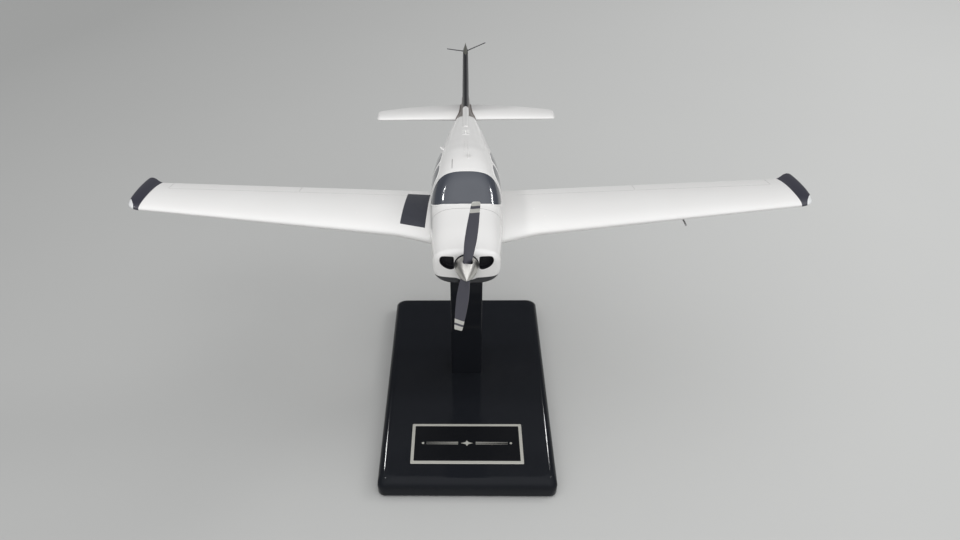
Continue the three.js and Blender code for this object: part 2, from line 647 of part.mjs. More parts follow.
function fuselage() {
  const ahead = NOSE_FACE - 5;
  const tools = [cylinderAft(BUSH_R + RUNNING, ahead, SHAFT_END + 1, 0, SHAFT_Z),
    glazingRecess(windshieldPrism(GAP))];
  for (const side of Object.values(SIDES)) {
    tools.push(glazingRecess(sidePrism(FRONT_WINDOW, side, GAP)));
    tools.push(glazingRecess(sidePrism(REAR_WINDOW, side, GAP)));
    tools.push(inletTool(side, 0, ahead, NOSE_FACE + INLET_DEPTH));
    for (const y of wingDowelY) {
      const dowel = wingDowel(y, RUNNING);
      tools.push(side > 0 ? dowel : mirrored(dowel));
    }
  }
  tools.push(cylinderAcross(TAIL_DOWEL.r + RUNNING, -40, 40, TAIL_DOWEL.y, TAILPLANE_Z));
  tools.push(finDowel(FIN_DOWEL.front, RUNNING), finDowel(FIN_DOWEL.rear, RUNNING));
  for (const y of Object.values(pinY)) tools.push(pin(y, RUNNING).applyMatrix4(toPlane));
  for (const name of Object.keys(ANTENNAS)) tools.push(antenna(name, RUNNING));
  return cut(fuselageBody(), ...tools);
}

add(airplane, 'fuselage', fuselage(), 'white');
add(airplane, 'windshield', glazing(windshieldPrism(0)), 'glazing');
for (const [name, side] of Object.entries(SIDES)) {
  const facing = (geometry) => (side > 0 ? geometry : mirrored(geometry));
  add(airplane, `wing_${name}`, facing(wing(side < 0)), 'white');
  add(airplane, `window_front_${name}`, glazing(sidePrism(FRONT_WINDOW, side, 0)), 'glazing');
  add(airplane, `window_rear_${name}`, glazing(sidePrism(REAR_WINDOW, side, 0)), 'glazing');
  add(airplane, `inlet_screen_${name}`, inletTool(side, -GAP, NOSE_FACE + INLET_DEPTH - INLET_INSERT - GAP,
    NOSE_FACE + INLET_DEPTH - GAP), 'dark');
  for (const place of ['front', 'rear']) {
    add(airplane, `wing_dowel_${name}_${place}`, facing(wingDowel(WING_DOWEL[place], 0)), 'wood');
  }
  const lens = common(wingBody(), extrudeUp(shapeOf(LENS), 0, 40));
  add(airplane, `wingtip_light_${name}`, facing(lens), 'clear');
  add(airplane, `tailplane_${name}`, facing(cut(tailplaneBody(), fuselageBody(GAP), cylinderAcross(
    TAIL_DOWEL.r + RUNNING, -10, TAIL_DOWEL.reach + RUNNING, TAIL_DOWEL.y, TAILPLANE_Z))), 'white');
}
add(airplane, 'tailplane_dowel', cylinderAcross(TAIL_DOWEL.r, -TAIL_DOWEL.reach, TAIL_DOWEL.reach,
  TAIL_DOWEL.y, TAILPLANE_Z), 'wood');
add(airplane, 'wing_walk', mirrored(skinSlab(0, WALK_THICKNESS - WALK_PROUD, WALK_PROUD)), 'walk');

// ---- Fin, its cap and the small antennas --------------------------------------------------------
add(airplane, 'fin', cut(finBody(), fuselageBody(GAP), finCapTool(GAP), finDowel(FIN_DOWEL.front, RUNNING),
  finDowel(FIN_DOWEL.rear, RUNNING), whisker(1, RUNNING), whisker(-1, RUNNING)), 'charcoal');
add(airplane, 'fin_cap', common(finBody(), finCapTool(0)), 'white');
for (const place of ['front', 'rear']) {
  add(airplane, `fin_dowel_${place}`, finDowel(FIN_DOWEL[place], 0), 'wood');
}
add(airplane, 'whisker_antenna_left', whisker(1, 0), 'steel');
add(airplane, 'whisker_antenna_right', whisker(-1, 0), 'steel');
add(airplane, 'pitot_tube', pitot(0), 'steel');
for (const name of Object.keys(ANTENNAS)) add(airplane, name, antenna(name, 0), 'white');

// ---- Propeller and its shaft --------------------------------------------------------------------
const bush = cut(cylinderAft(BUSH_R, NOSE_FACE - 0.6, BUSH_END, 0, SHAFT_Z),
  cylinderAft(SHAFT_R + RUNNING, NOSE_FACE - 10, BUSH_END + 10, 0, SHAFT_Z));
add(airplane, 'shaft_bush', bush, 'brass');
add(propellerFrame, 'spinner', spinner().translate(0, SPINNER_BASE - PROP_Y, 0), 'silver');
add(propellerFrame, 'spinner_backplate', cut(cylinderAft(BACKPLATE.r, BACKPLATE.front + fromProp,
  BACKPLATE.rear + fromProp), cylinderAft(SHAFT_R + RUNNING, -10, 10)), 'dark');
add(propellerFrame, 'propeller', propeller(), 'charcoal');
add(propellerFrame, 'propeller_shaft', cylinderAft(SHAFT_R, -4.4, SHAFT_END + fromProp), 'steel');
add(propellerFrame, 'shaft_collar', cut(cylinderAft(BUSH_R - 0.5, BUSH_END + GAP + fromProp, SHAFT_END - 0.6
  + fromProp), cylinderAft(SHAFT_R + RUNNING, 0, 40)), 'brass');

export default root;
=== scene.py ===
"""Looks of a desk model of a single-engine propeller plane on a lacquered stand, over its CAD frame."""
import bisect
import json
import math

import bpy
from mathutils import Matrix, Vector


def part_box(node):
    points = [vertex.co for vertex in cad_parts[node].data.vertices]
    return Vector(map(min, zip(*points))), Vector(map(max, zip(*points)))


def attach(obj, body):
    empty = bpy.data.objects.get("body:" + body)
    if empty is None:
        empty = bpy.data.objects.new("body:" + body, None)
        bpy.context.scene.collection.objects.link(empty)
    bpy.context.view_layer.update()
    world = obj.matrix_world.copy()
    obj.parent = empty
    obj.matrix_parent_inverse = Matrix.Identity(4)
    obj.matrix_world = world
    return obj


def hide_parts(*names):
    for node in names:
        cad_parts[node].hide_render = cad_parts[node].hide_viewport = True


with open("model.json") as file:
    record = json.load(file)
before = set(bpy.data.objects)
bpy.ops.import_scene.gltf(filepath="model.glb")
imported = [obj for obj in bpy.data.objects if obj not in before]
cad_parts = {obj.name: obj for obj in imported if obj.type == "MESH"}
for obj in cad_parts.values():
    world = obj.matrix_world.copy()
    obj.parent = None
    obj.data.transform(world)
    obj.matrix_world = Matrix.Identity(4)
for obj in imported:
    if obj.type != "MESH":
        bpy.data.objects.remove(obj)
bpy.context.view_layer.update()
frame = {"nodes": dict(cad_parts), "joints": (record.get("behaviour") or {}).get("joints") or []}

MM = 0.001
SIDES = {"left": 1, "right": -1}

# ---- Places taken from the frame ----
# Airplane pieces are drawn in the plane's own axes, in millimetres: x to its left, y aft, z up,
# from the wing root. Its pitch and its place come from the propeller's hinge.
SHAFT_Z = 17.5
PROP_Y = -59.9
PROP_LEAN = math.radians(6.75)
spin = next(joint for joint in frame["joints"] if joint["name"] == "propeller_spin")
level = Matrix.Rotation(-math.asin(spin["axis"][2]), 4, "X")
hub = Vector(spin["pos_m"])
PLANE = Matrix.Translation(hub - level @ (Vector((0, PROP_Y, SHAFT_Z)) * MM)) @ level
PROPELLER = Matrix.Translation(hub) @ level @ Matrix.Rotation(PROP_LEAN, 4, "Y")
STAND = Matrix.Identity(4)


# ---- Meshes ----
def solid(name, points, faces, place=PLANE, material=None):
    """A mesh object from points in millimetres, in the axes of place."""
    mesh = bpy.data.meshes.new(name)
    mesh.from_pydata([tuple(Vector(p) * MM) for p in points], [], faces)
    mesh.update()
    if material:
        mesh.materials.append(material)
    piece = bpy.data.objects.new(name, mesh)
    bpy.context.scene.collection.objects.link(piece)
    piece.matrix_world = place
    return piece


def loft(rings, closed=False):
    """Points and outward faces of a closed skin over rings that have the same number of points."""
    count = len(rings[0])
    points = [Vector(p) for ring in rings for p in ring]
    faces = []
    for r in range(len(rings) if closed else len(rings) - 1):
        a, b = r * count, ((r + 1) % len(rings)) * count
        faces += [(a + i, a + (i + 1) % count, b + (i + 1) % count, b + i) for i in range(count)]
    if not closed:
        for start, flip in ((0, True), ((len(rings) - 1) * count, False)):
            middle = len(points)
            points.append(sum(points[start:start + count], Vector()) / count)
            for i in range(count):
                rim = (start + i, start + (i + 1) % count)
                faces.append((*(reversed(rim) if flip else rim), middle))
    volume = sum(points[f[0]].dot(points[f[k]].cross(points[f[k + 1]]))
                 for f in faces for k in range(1, len(f) - 1))
    if volume < 0:
        faces = [tuple(reversed(f)) for f in faces]
    return points, faces


def joined(*parts):
    """Several closed skins in one."""
    points, faces = [], []
    for more_points, more_faces in parts:
        faces += [tuple(i + len(points) for i in face) for face in more_faces]
        points += more_points
    return points, faces


def facing(part, side):
    """A left-hand skin as it is (1), or mirrored for the right-hand side (-1)."""
    if side > 0:
        return part
    points, faces = part
    return [Vector((-p.x, p.y, p.z)) for p in points], [tuple(reversed(f)) for f in faces]


def boolean(piece, tool, operation):
    """Cuts piece with tool, or keeps what they share. Cut faces take the tool's material."""
    modifier = piece.modifiers.new("boolean", "BOOLEAN")
    modifier.object = tool
    modifier.operation = operation
    modifier.solver = "EXACT"
    modifier.material_mode = "TRANSFER"
    bpy.context.view_layer.update()
    depsgraph = bpy.context.evaluated_depsgraph_get()
    mesh = bpy.data.meshes.new_from_object(piece.evaluated_get(depsgraph))
    piece.modifiers.clear()
    piece.data = mesh
    mesh.name = piece.name
    bpy.data.objects.remove(tool)


def cut(piece, shape, place=PLANE, material=None, operation="DIFFERENCE"):
    """Cuts piece with a skin, which may have a material of its own."""
    boolean(piece, solid("cutter", *shape, place, material), operation)


def zone(piece, name, inside):
    """Stores how far inside a painted area each point is, in millimetres."""
    attribute = piece.data.attributes.new(name, "FLOAT", "POINT")
    attribute.data.foreach_set("value", [inside(*(v.co / MM)) for v in piece.data.vertices])


def all_over(x, y, z):
    return 1.0


def ready(piece, body, slot, *nodes, material=None, angle=32):
    """Shades a piece, with edges over angle degrees sharp, and ties it to its body and CAD nodes. slot is not
    used.
    """
    piece.data.transform(piece.matrix_world)
    piece.matrix_world = STAND
    piece.data.shade_smooth()
    piece.data.set_sharp_from_angle(angle=math.radians(angle))
    if material:
        piece.data.materials.clear()
        piece.data.materials.append(material)
    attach(piece, body)
    if nodes:
        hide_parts(*nodes)


# ---- Curves ----
def profile(pairs):
    """A smooth curve through (position, value) pairs that never overshoots them."""
    xs, ys = zip(*pairs)
    rates = [(ys[i + 1] - ys[i]) / (xs[i + 1] - xs[i]) for i in range(len(xs) - 1)]
    slopes = [0.0] * len(xs)
    for i in range(1, len(xs) - 1):
        before, after = rates[i - 1], rates[i]
        slopes[i] = 0.0 if before * after <= 0 else 2 * before * after / (before + after)

    def value(at):
        s = min(max(at, xs[0]), xs[-1])
        k = min(bisect.bisect_right(xs, s) - 1, len(xs) - 2)
        run = xs[k + 1] - xs[k]
        t = (s - xs[k]) / run
        return ((2 * t**3 - 3 * t**2 + 1) * ys[k] + (t**3 - 2 * t**2 + t) * run * slopes[k]
                + (3 * t**2 - 2 * t**3) * ys[k + 1] + (t**3 - t**2) * run * slopes[k + 1])
    return value


def table(stations):
    """One profile for each column after the first of a list of stations."""
    return [profile([(row[0], row[k]) for row in stations]) for k in range(1, len(stations[0]))]


def steps(start, end, count):
    return [start + (end - start) * i / count for i in range(count + 1)]


def rounded(points, passes=3):
    """A closed outline with its corners cut round."""
    for _ in range(passes):
        ahead = points[1:] + points[:1]
        points = [tuple(p * (1 - t) + q * t for p, q in zip(a, b))
                  for a, b in zip(points, ahead) for t in (0.25, 0.75)]
    return points


def grown(points, by):
    """A closed outline with its points moved away from its middle."""
    cx, cy = (sum(values) / len(points) for values in zip(*points))
    moved = []
    for x, y in points:
        reach = math.hypot(x - cx, y - cy)
        moved.append((x + (x - cx) / reach * by, y + (y - cy) / reach * by))
    return moved


def inside_outline(x, y, outline):
    """Distance inside a closed outline, negative outside it."""
    nearest, within = 1e9, False
    for (x0, y0), (x1, y1) in zip(outline, outline[1:] + outline[:1]):
        run = Vector((x1 - x0, y1 - y0))
        share = max(0.0, min(1.0, Vector((x - x0, y - y0)).dot(run) / run.length_squared))
        nearest = min(nearest, math.hypot(x - x0 - share * run.x, y - y0 - share * run.y))
        if (y0 > y) != (y1 > y) and x < x0 + (y - y0) * (x1 - x0) / (y1 - y0):
            within = not within
    return nearest if within else -nearest


def sweep(path, ups, section, closed=False):
    """A skin along path. section(share) gives offsets to the side and up at that share of it."""
    rings = []
    last = len(path) - 1
    for i, (point, up) in enumerate(zip(path, ups)):
        before = path[i - 1] if closed or i > 0 else point
        after = path[(i + 1) % len(path)] if closed or i < last else point
        side = (after - before).cross(up).normalized()
        rings.append([point + side * a + up * b for a, b in section(i / last)])
    return loft(rings, closed)


def circle(radius, count):
    return [(radius * math.cos(t), radius * math.sin(t)) for t in steps(0, 2 * math.pi, count)[:-1]]


def bead(width, height, buried=0.3, count=8):
    """Section of a low rounded bead that lies on a surface."""
    arch = [(width / 2 * math.cos(t), height * math.sin(t) ** 0.8) for t in steps(0, math.pi, count)]
    return arch + [(-width / 2, -buried), (width / 2, -buried)]


def lathe(outline, sides=96, height=0.0, closed=False):
    """A turned solid from (radius, y) pairs, about an axis along y at a height."""
    turns = steps(0, 2 * math.pi, sides)[:-1]
    rings = [[(r * math.cos(t), y, height + r * math.sin(t)) for t in turns] for r, y in outline]
    return loft(rings, closed)


def prism_across(outline, x0, x1):
    return loft([[(x, y, z) for y, z in outline] for x in (x0, x1)])


def prism_aft(outline, y0, y1):
    return loft([[(x, y, z) for x, z in outline] for y in (y0, y1)])


def prism_up(outline, z0, z1):
    return loft([[(x, y, z) for x, y in outline] for z in (z0, z1)])


# ---- Materials ----
EVEN = (1, 1, 1)
ZONE_EDGE = 0.1         # millimetres over which the edge of a painted area fades
CHARCOAL = (0.026, 0.026, 0.04)
INLET_BLACK = (0.01, 0.01, 0.014)
BAND_WHITE = (0.6, 0.59, 0.55)
# Dark tail-root paint, made lighter and browner as a painted reflection, and painted shade in the tailplane
# root creases.
TAIL_ROOT_PAINT_AND_SHADE = (0.1, 0.077, 0.064)
BELLY = (0.012, 0.013, 0.017)
CAP_GREY = (0.085, 0.085, 0.07)


def feed(tree, socket, value):
    """Gives an input a value or links it to another node's output."""
    if isinstance(value, bpy.types.NodeSocket):
        tree.links.new(value, socket)
    else:
        socket.default_value = value


def add_node(tree, kind, settings=(), **inputs):
    made = tree.nodes.new(kind)
    for key, value in dict(settings).items():
        setattr(made, key, value)
    for key, value in inputs.items():
        feed(tree, made.inputs[key.replace("_", " ")], value)
    return made


def noise(tree, size, stretch=EVEN, detail=3):
    """Noise whose patches are about size millimetres across, stretched along the axes."""
    place = add_node(tree, "ShaderNodeTexCoord").outputs["Object"]
    scale = tuple(1 / (size * MM * s) for s in stretch)
    spread = add_node(tree, "ShaderNodeMapping", Vector=place, Scale=scale).outputs["Vector"]
    return add_node(tree, "ShaderNodeTexNoise", Vector=spread, Scale=1.0, Detail=detail).outputs["Fac"]


def ranged(tree, value, **limits):
    """A value taken from one range to another. Each runs from 0 to 1 where limits say nothing."""
    return add_node(tree, "ShaderNodeMapRange", Value=value, **limits).outputs["Result"]


def reach_along(tree, place, axis):
    """How far a place is along an axis."""
    product = add_node(tree, "ShaderNodeVectorMath", {"operation": "DOT_PRODUCT"})
    feed(tree, product.inputs[0], place)
    feed(tree, product.inputs[1], axis)
    return product.outputs["Value"]


def mixed(tree, share, first, second):
    mix = add_node(tree, "ShaderNodeMix", {"data_type": "RGBA"})
    for index, value in ((0, share), (6, first), (7, second)):
        feed(tree, mix.inputs[index], value)
    return mix.outputs[2]


def finish(name, colours, roughness, tint, bumps=(), zones=(), metallic=0.0, coat=0.0,
           coat_roughness=0.05, clear=0.0, sheen=0.0, specular=0.5, stretch=EVEN):
    """A procedural finish. colours and roughness are pairs that noise of the tint size mixes. bumps are
    (size, depth), in millimetres, and a stretch if any. zones are (attribute, colour, roughness)."""
    material = bpy.data.materials.new(name)
    material.use_nodes = True
    tree = material.node_tree
    surface = tree.nodes["Principled BSDF"]
    colour = mixed(tree, noise(tree, tint, stretch), (*colours[0], 1), (*colours[1], 1))
    rough = ranged(tree, noise(tree, tint / 3, stretch, 5), To_Min=roughness[0], To_Max=roughness[1])
    for attribute, paint, paint_roughness in zones:
        depth = add_node(tree, "ShaderNodeAttribute", {"attribute_name": attribute}).outputs["Fac"]
        share = ranged(tree, depth, From_Max=ZONE_EDGE)
        colour = mixed(tree, share, colour, (*paint, 1))
        rough = ranged(tree, share, To_Min=rough, To_Max=paint_roughness)
    relief = {}
    for size, depth, *lie in bumps:
        relief["Normal"] = add_node(tree, "ShaderNodeBump", Strength=1.0, Distance=depth * MM,
                                    Height=noise(tree, size, *lie), **relief).outputs["Normal"]
    inputs = {"Base Color": colour, "Roughness": rough, "Metallic": metallic, "Coat Weight": coat,
              "Coat Roughness": coat_roughness, "Transmission Weight": clear, "Sheen Weight": sheen,
              "Specular IOR Level": specular, **relief}
    for socket, value in inputs.items():
        feed(tree, surface.inputs[socket], value)
    return material


lacquer = finish("black_lacquer", ((0.0105, 0.0117, 0.0145), (0.013, 0.0142, 0.0175)), (0.06, 0.1), 25,
                 bumps=((6, 0.006), (0.6, 0.0006)), specular=0.1)
felt = finish("felt", ((0.012, 0.013, 0.014), (0.03, 0.032, 0.034)), (0.9, 1.0), 0.6,
              bumps=((0.5, 0.12), (0.15, 0.05)), sheen=0.3)
plate_silver = finish("plate_silver", ((0.5, 0.49, 0.44), (0.58, 0.57, 0.52)), (0.34, 0.5), 0.5,
                      bumps=((0.12, 0.002, (40, 1, 1)),), metallic=0.35, stretch=(30, 1, 1))
plate_black = finish("plate_black", ((0.004, 0.0045, 0.006), (0.006, 0.0065, 0.008)), (0.3, 0.42), 8,
                     bumps=((0.15, 0.001, (30, 1, 1)),), specular=0.15)
white_paint = finish("white_paint", ((0.8, 0.786, 0.764), (0.83, 0.82, 0.8)), (0.2, 0.3), 30,
                     bumps=((9, 0.012, (1, 2.5, 1)), (0.8, 0.0012)), coat=0.35, coat_roughness=0.08,
                     zones=(("charcoal", CHARCOAL, 0.3), ("belly", BELLY, 0.35), ("tail_root_paint_and_shade", TAIL_ROOT_PAINT_AND_SHADE, 0.35),
                            ("cap", CAP_GREY, 0.4), ("inlet", INLET_BLACK, 0.5)))
charcoal_paint = finish("charcoal_paint", ((0.007, 0.008, 0.011), (0.01, 0.011, 0.015)), (0.34, 0.44), 15,
                        bumps=((7, 0.01, (1, 2, 1)), (0.8, 0.001)), coat=0.1, coat_roughness=0.2,
                        zones=(("cap", CAP_GREY, 0.4),))
glazing_tint = finish("tinted_glazing", ((0.046, 0.052, 0.066), (0.058, 0.064, 0.08)), (0.08, 0.13), 18,
                      bumps=((8, 0.004),), coat=0.5, coat_roughness=0.03)
spinner_silver = finish("satin_silver", ((0.6, 0.585, 0.55), (0.68, 0.665, 0.63)), (0.32, 0.42), 0.5,
                        bumps=((0.14, 0.0015, (30, 1, 30)),), metallic=1.0, stretch=(25, 1, 25))
propeller_paint = finish("propeller_paint", ((0.064, 0.063, 0.082), (0.076, 0.075, 0.096)), (0.34, 0.44), 6,
                         bumps=((0.5, 0.002),), coat=0.15, coat_roughness=0.2,
                         zones=(("band", BAND_WHITE, 0.4),))
steel = finish("steel", ((0.38, 0.38, 0.385), (0.46, 0.46, 0.465)), (0.28, 0.42), 0.6,
               bumps=((0.1, 0.001, (1, 1, 25)),), metallic=1.0, stretch=(1, 1, 20))
dark_steel = finish("dark_steel", ((0.035, 0.036, 0.04), (0.05, 0.051, 0.056)), (0.4, 0.5), 0.6,
                    bumps=((0.1, 0.001),))
brass = finish("brass", ((0.5, 0.36, 0.15), (0.6, 0.44, 0.2)), (0.25, 0.4), 0.6,
               bumps=((0.12, 0.001, (20, 1, 20)),), metallic=1.0, stretch=(20, 1, 20))
hardwood = finish("hardwood", ((0.32, 0.19, 0.09), (0.52, 0.34, 0.18)), (0.55, 0.75), 0.9,
                  bumps=((0.4, 0.03, (12, 1, 1)),), stretch=(14, 1, 1))
grip_black = finish("grip_strip", ((0.034, 0.036, 0.046), (0.046, 0.048, 0.06)), (0.34, 0.5), 5,
                    bumps=((0.25, 0.012),))
screen_black = finish("dark_screen", ((0.008, 0.008, 0.011), (0.016, 0.016, 0.021)), (0.45, 0.6), 2,
                      bumps=((0.3, 0.01),))
lens_clear = finish("clear_lens", ((0.88, 0.89, 0.88), (0.93, 0.94, 0.93)), (0.06, 0.1), 4,
                    bumps=((2, 0.004),), clear=0.2, coat=0.5)
seam_grey = finish("seam_grey", ((0.3, 0.29, 0.28), (0.36, 0.35, 0.34)), (0.5, 0.6), 5)


def fitting(name, shape, *nodes, slot="white_paint", material=white_paint, angle=50):
    """A small airplane piece, white unless told otherwise."""
    ready(solid(name, *shape), "airplane", slot, *nodes, material=material, angle=angle)


# ---- Fuselage skin ----
NOSE_FACE = -54.6
NOSE_ROUNDING = 3.5
TAIL_END = 216
half_width = profile([(-51, 20.2), (-35, 21.4), (-12, 22.8), (12, 23.6), (40, 24.3), (60, 23.2), (80, 20.6),
                      (100, 17.8), (120, 15.1), (137, 12), (150, 9.7), (161, 7.7), (172, 5.3), (187, 3.9),
                      (210, 3.2), (TAIL_END, 2.9)])
widest_z = profile([(-51, 16), (-12, 14), (45, 12.5), (93, 14.5), (135, 17.5), (187, 20), (TAIL_END, 20.5)])
top_z = profile([(-51, 26.8), (-30, 29.4), (-5.7, 31.6), (-2, 34), (10, 42.6), (18, 45.2), (30, 46),
                 (46, 45.4), (62, 43.2), (90, 38.9), (140, 31.3), (176, 26), (196, 24.4), (TAIL_END, 23.6)])
bottom_z = profile([(-51, 2.6), (-44, 0.2), (-34, -2.2), (-12, -4.8), (12, -6), (45, -6), (67, -5.2),
                    (90, -2.3), (111, 1), (135, 5.2), (160, 9.8), (187, 14), (210, 17), (TAIL_END, 17.8)])
top_power = profile([(-51, 3.1), (-8, 3), (14, 2.75), (34, 2.6), (60, 2.4), (100, 2.15), (160, 2),
                     (TAIL_END, 2)])
bottom_power = profile([(-51, 2.8), (0, 3), (60, 3), (100, 2.4), (160, 2.1), (TAIL_END, 2)])


def power_at(y, above):
    return top_power(y) if above else bottom_power(y)


def skin(y, turn, grow=0.0):
    """A point of the fuselage skin. turn goes from the left side over the top to the right side."""
    c, s = math.cos(turn), math.sin(turn)
    power = 2 / power_at(y, s > 0)
    middle = widest_z(y)
    rise = top_z(y) + grow - middle if s > 0 else middle - bottom_z(y) + grow
    x = (half_width(y) + grow) * math.copysign(abs(c) ** power, c)
    return Vector((x, y, middle + rise * math.copysign(abs(s) ** power, s)))


def skin_normal(y, turn):
    d = 0.02
    aft = skin(y + d, turn) - skin(y - d, turn)
    return aft.cross(skin(y, turn + d) - skin(y, turn - d)).normalized()


def turn_at(y, z, side=1):
    """The turn of the skin point at a height, on the left side (1) or the right side (-1)."""
    middle = widest_z(y)
    above = z > middle
    reach = top_z(y) - middle if above else middle - bottom_z(y)
    s = min(1.0, abs(z - middle) / reach) ** (power_at(y, above) / 2)
    turn = math.asin(s) * (1 if above else -1)
    return turn if side > 0 else math.pi - turn


def turn_over(x, y):
    """The turn of the skin point over a place in plan."""
    c = min(1.0, abs(x) / half_width(y)) ** (top_power(y) / 2)
    return math.acos(math.copysign(c, x))


def skin_x(y, z):
    """Half breadth of the fuselage at a height."""
    return skin(y, turn_at(y, z)).x


def fuselage_skin(grow=0.0, sides=128):
    """The hull, grown or shrunk, with rounded ends."""
    rings = []
    turns = steps(0, 2 * math.pi, sides)[:-1]
    for quarter in steps(0, math.pi / 2, 8):
        inset = NOSE_ROUNDING * (1 - math.sin(quarter))
        y = NOSE_FACE + NOSE_ROUNDING * (1 - math.cos(quarter)) - (grow if quarter == 0 else 0)
        rings.append([skin(y, turn, grow - inset) for turn in turns])
    centre = Vector((0, rings[0][0].y, SHAFT_Z))
    rings[:0] = [[centre.lerp(p, share) for p in rings[0]] for share in (0.3, 0.65, 0.9, 0.985)]
    rings += [[skin(y, turn, grow) for turn in turns] for y in steps(-49.4, TAIL_END, 133)]
    rings += [[skin(TAIL_END + past + grow, turn, grow - inset) for turn in turns]
              for past, inset in ((0.6, 0.5), (1, 1.2))]
    return loft(rings)


def on_skin(stations, spacing=0.8, closed=False):
    """Points and normals along the skin between (y, turn) stations."""
    ends = stations[1:] + (stations[:1] if closed else [])
    places = []
    for (y0, t0), (y1, t1) in zip(stations, ends):
        count = max(1, round((skin(y0, t0) - skin(y1, t1)).length / spacing))
        places += [(y0 + (y1 - y0) * i / count, t0 + (t1 - t0) * i / count) for i in range(count)]
    if not closed:
        places.append(stations[-1])
    return [skin(*place) for place in places], [skin_normal(*place) for place in places]


# ---- Glazing ----
GLAZING_PROUD = 0.15
GLAZING_DEPTH = 0.8
GLAZING_GAP = 0.22
WINDSHIELD = rounded([(-6.2, 31.8), (-5, 31.1), (-3.9, 30.6), (-3, 29.4), (1.6, 27.1), (6, 25.2),
                      (12.2, 24.8), (12.8, 31), (13.6, 35), (14.4, 38), (14.8, 41.4), (14.2, 44.6),
                      (13.6, 56), (-6.2, 56)], 4)
WINDOWS = {"front": rounded([(19.2, 26.8), (28, 26.2), (35.6, 26.4), (36, 38.2), (34.6, 39), (28, 38.9),
                             (22.4, 37.8), (19.6, 35)]),
           "rear": rounded([(40, 26.4), (52, 26.6), (65, 27.8), (67.6, 29.8), (65.6, 33.4), (61, 36.4),
                            (52, 38.3), (41.4, 38.9), (39.8, 38)])}


def glazing_prisms(by):
    """Blocks across the hull with the outline of each pane, grown by a margin."""
    prisms = {"windshield": prism_across(grown(WINDSHIELD, by), -40, 40)}
    for place, outline in WINDOWS.items():
        prisms[f"window_{place}_left"] = prism_across(grown(outline, by), 8, 40)
        prisms[f"window_{place}_right"] = prism_across(grown(outline, by), -40, -8)
    return prisms


def glazing_panes():
    for name, prism in glazing_prisms(0).items():
        pane = solid(f"{name}_pane", *prism)
        cut(pane, fuselage_skin(GLAZING_PROUD), operation="INTERSECT")
        cut(pane, fuselage_skin(-GLAZING_DEPTH))
        ready(pane, "airplane", "tinted_glazing", name, material=glazing_tint)


def windshield_edge():
    """(y, turn) stations round the windshield, up its left side, over the top and back."""
    half = [(y, z) for y, z in WINDSHIELD if z < top_z(y) - 0.05]
    start = next(i for i in range(len(half)) if half[i][0] - half[i - 1][0] < -10 or i == 0)
    half = half[start:] + half[:start]
    left = [(y, turn_at(y, z)) for y, z in half]
    left = [(left[0][0] - 0.1, math.pi / 2)] + left + [(left[-1][0], math.pi / 2)]
    right = [(y, math.pi - turn) for y, turn in reversed(left[1:-1])]
    return left + right


def glazing_frames():
    """Raised white frames round the panes."""
    def frame_round(name, edge, shift, width, height):
        section = [(a + shift, b) for a, b in bead(width, height)]
        path = on_skin(edge, 0.9, closed=True)
        fitting(name, sweep(*path, lambda share: section, closed=True))
    frame_round("windshield_frame", windshield_edge(), 0.7, 1.25, 0.3)
    for place, outline in WINDOWS.items():
        for name, side in SIDES.items():
            edge = [(y, turn_at(y, z, side)) for y, z in outline]
            frame_round(f"window_frame_{place}_{name}", edge, 0.5 * side, 0.85, 0.22)


# ---- Fuselage body ----
INLET = rounded([(7.9, 14.5), (9.8, 14.3), (12.6, 15.4), (15, 17.6), (16, 20.4), (15.4, 22.5), (13.9, 23.2),
                 (8.1, 23.1), (7.6, 22.4), (7.5, 15.2)], 3)
INLET_DEPTH = 5
INLET_LIP = 0.25        # how far the black paint comes out round an inlet
BORE_R, BORE_END = 3.6, -38
WHITE_RING_R, WHITE_RING_DEPTH = 11, 9
belly_line = profile([(-55, 8.2), (-40, 6.8), (-14, -0.5), (0, -2), (60, -1.5), (95, 4), (130, 9.5),
                      (158, 17), (170, 30)])
tail_line = profile([(0, 143), (3, 144.5), (5, 146), (7, 148.5), (9, 152), (12, 158)])


def belly_paint(x, y, z):
    """Dark paint under the chin and along the belly, with a white ring left round the shaft."""
    lift = 0.005 * x * x * max(0.0, min(1.0, (-y - 30) / 20))
    below = belly_line(y) + lift - z
    ring = math.hypot(x, z - SHAFT_Z) - WHITE_RING_R
    return min(below, ring) if y < NOSE_FACE + WHITE_RING_DEPTH else below


def inlet_paint(x, y, z):
    if y > NOSE_FACE + INLET_DEPTH + 1:
        return -5
    return inside_outline(abs(x), z, INLET) + INLET_LIP


def seam(stations, radius=0.16):
    """A fine groove cutter along the skin."""
    return sweep(*on_skin(stations, 1.5), lambda share: circle(radius, 6))


def fuselage_seams():
    """Panel lines: the cowl's rear edge, its split on each side, the door's top and the hatch."""
    cowl_rear, cowl_foot = -10.5, 14
    split = [(-50, 19.4), (-30, 18.6), (-12, 18)]
    door = [(19, -9.2), (32, -9.2)]
    hatch = [(74, 16), (74, 28), (92, 27), (92, 17), (75, 15.6)]
    foot = turn_at(cowl_rear, cowl_foot)
    return joined(seam([(cowl_rear, turn) for turn in steps(foot, math.pi - foot, 40)]),
                  *(seam([(y, turn_at(y, z, side)) for y, z in split]) for side in (1, -1)),
                  seam([(y, turn_over(x, y)) for y, x in door], 0.24),
                  seam([(y, turn_at(y, z, -1)) for y, z in hatch]))


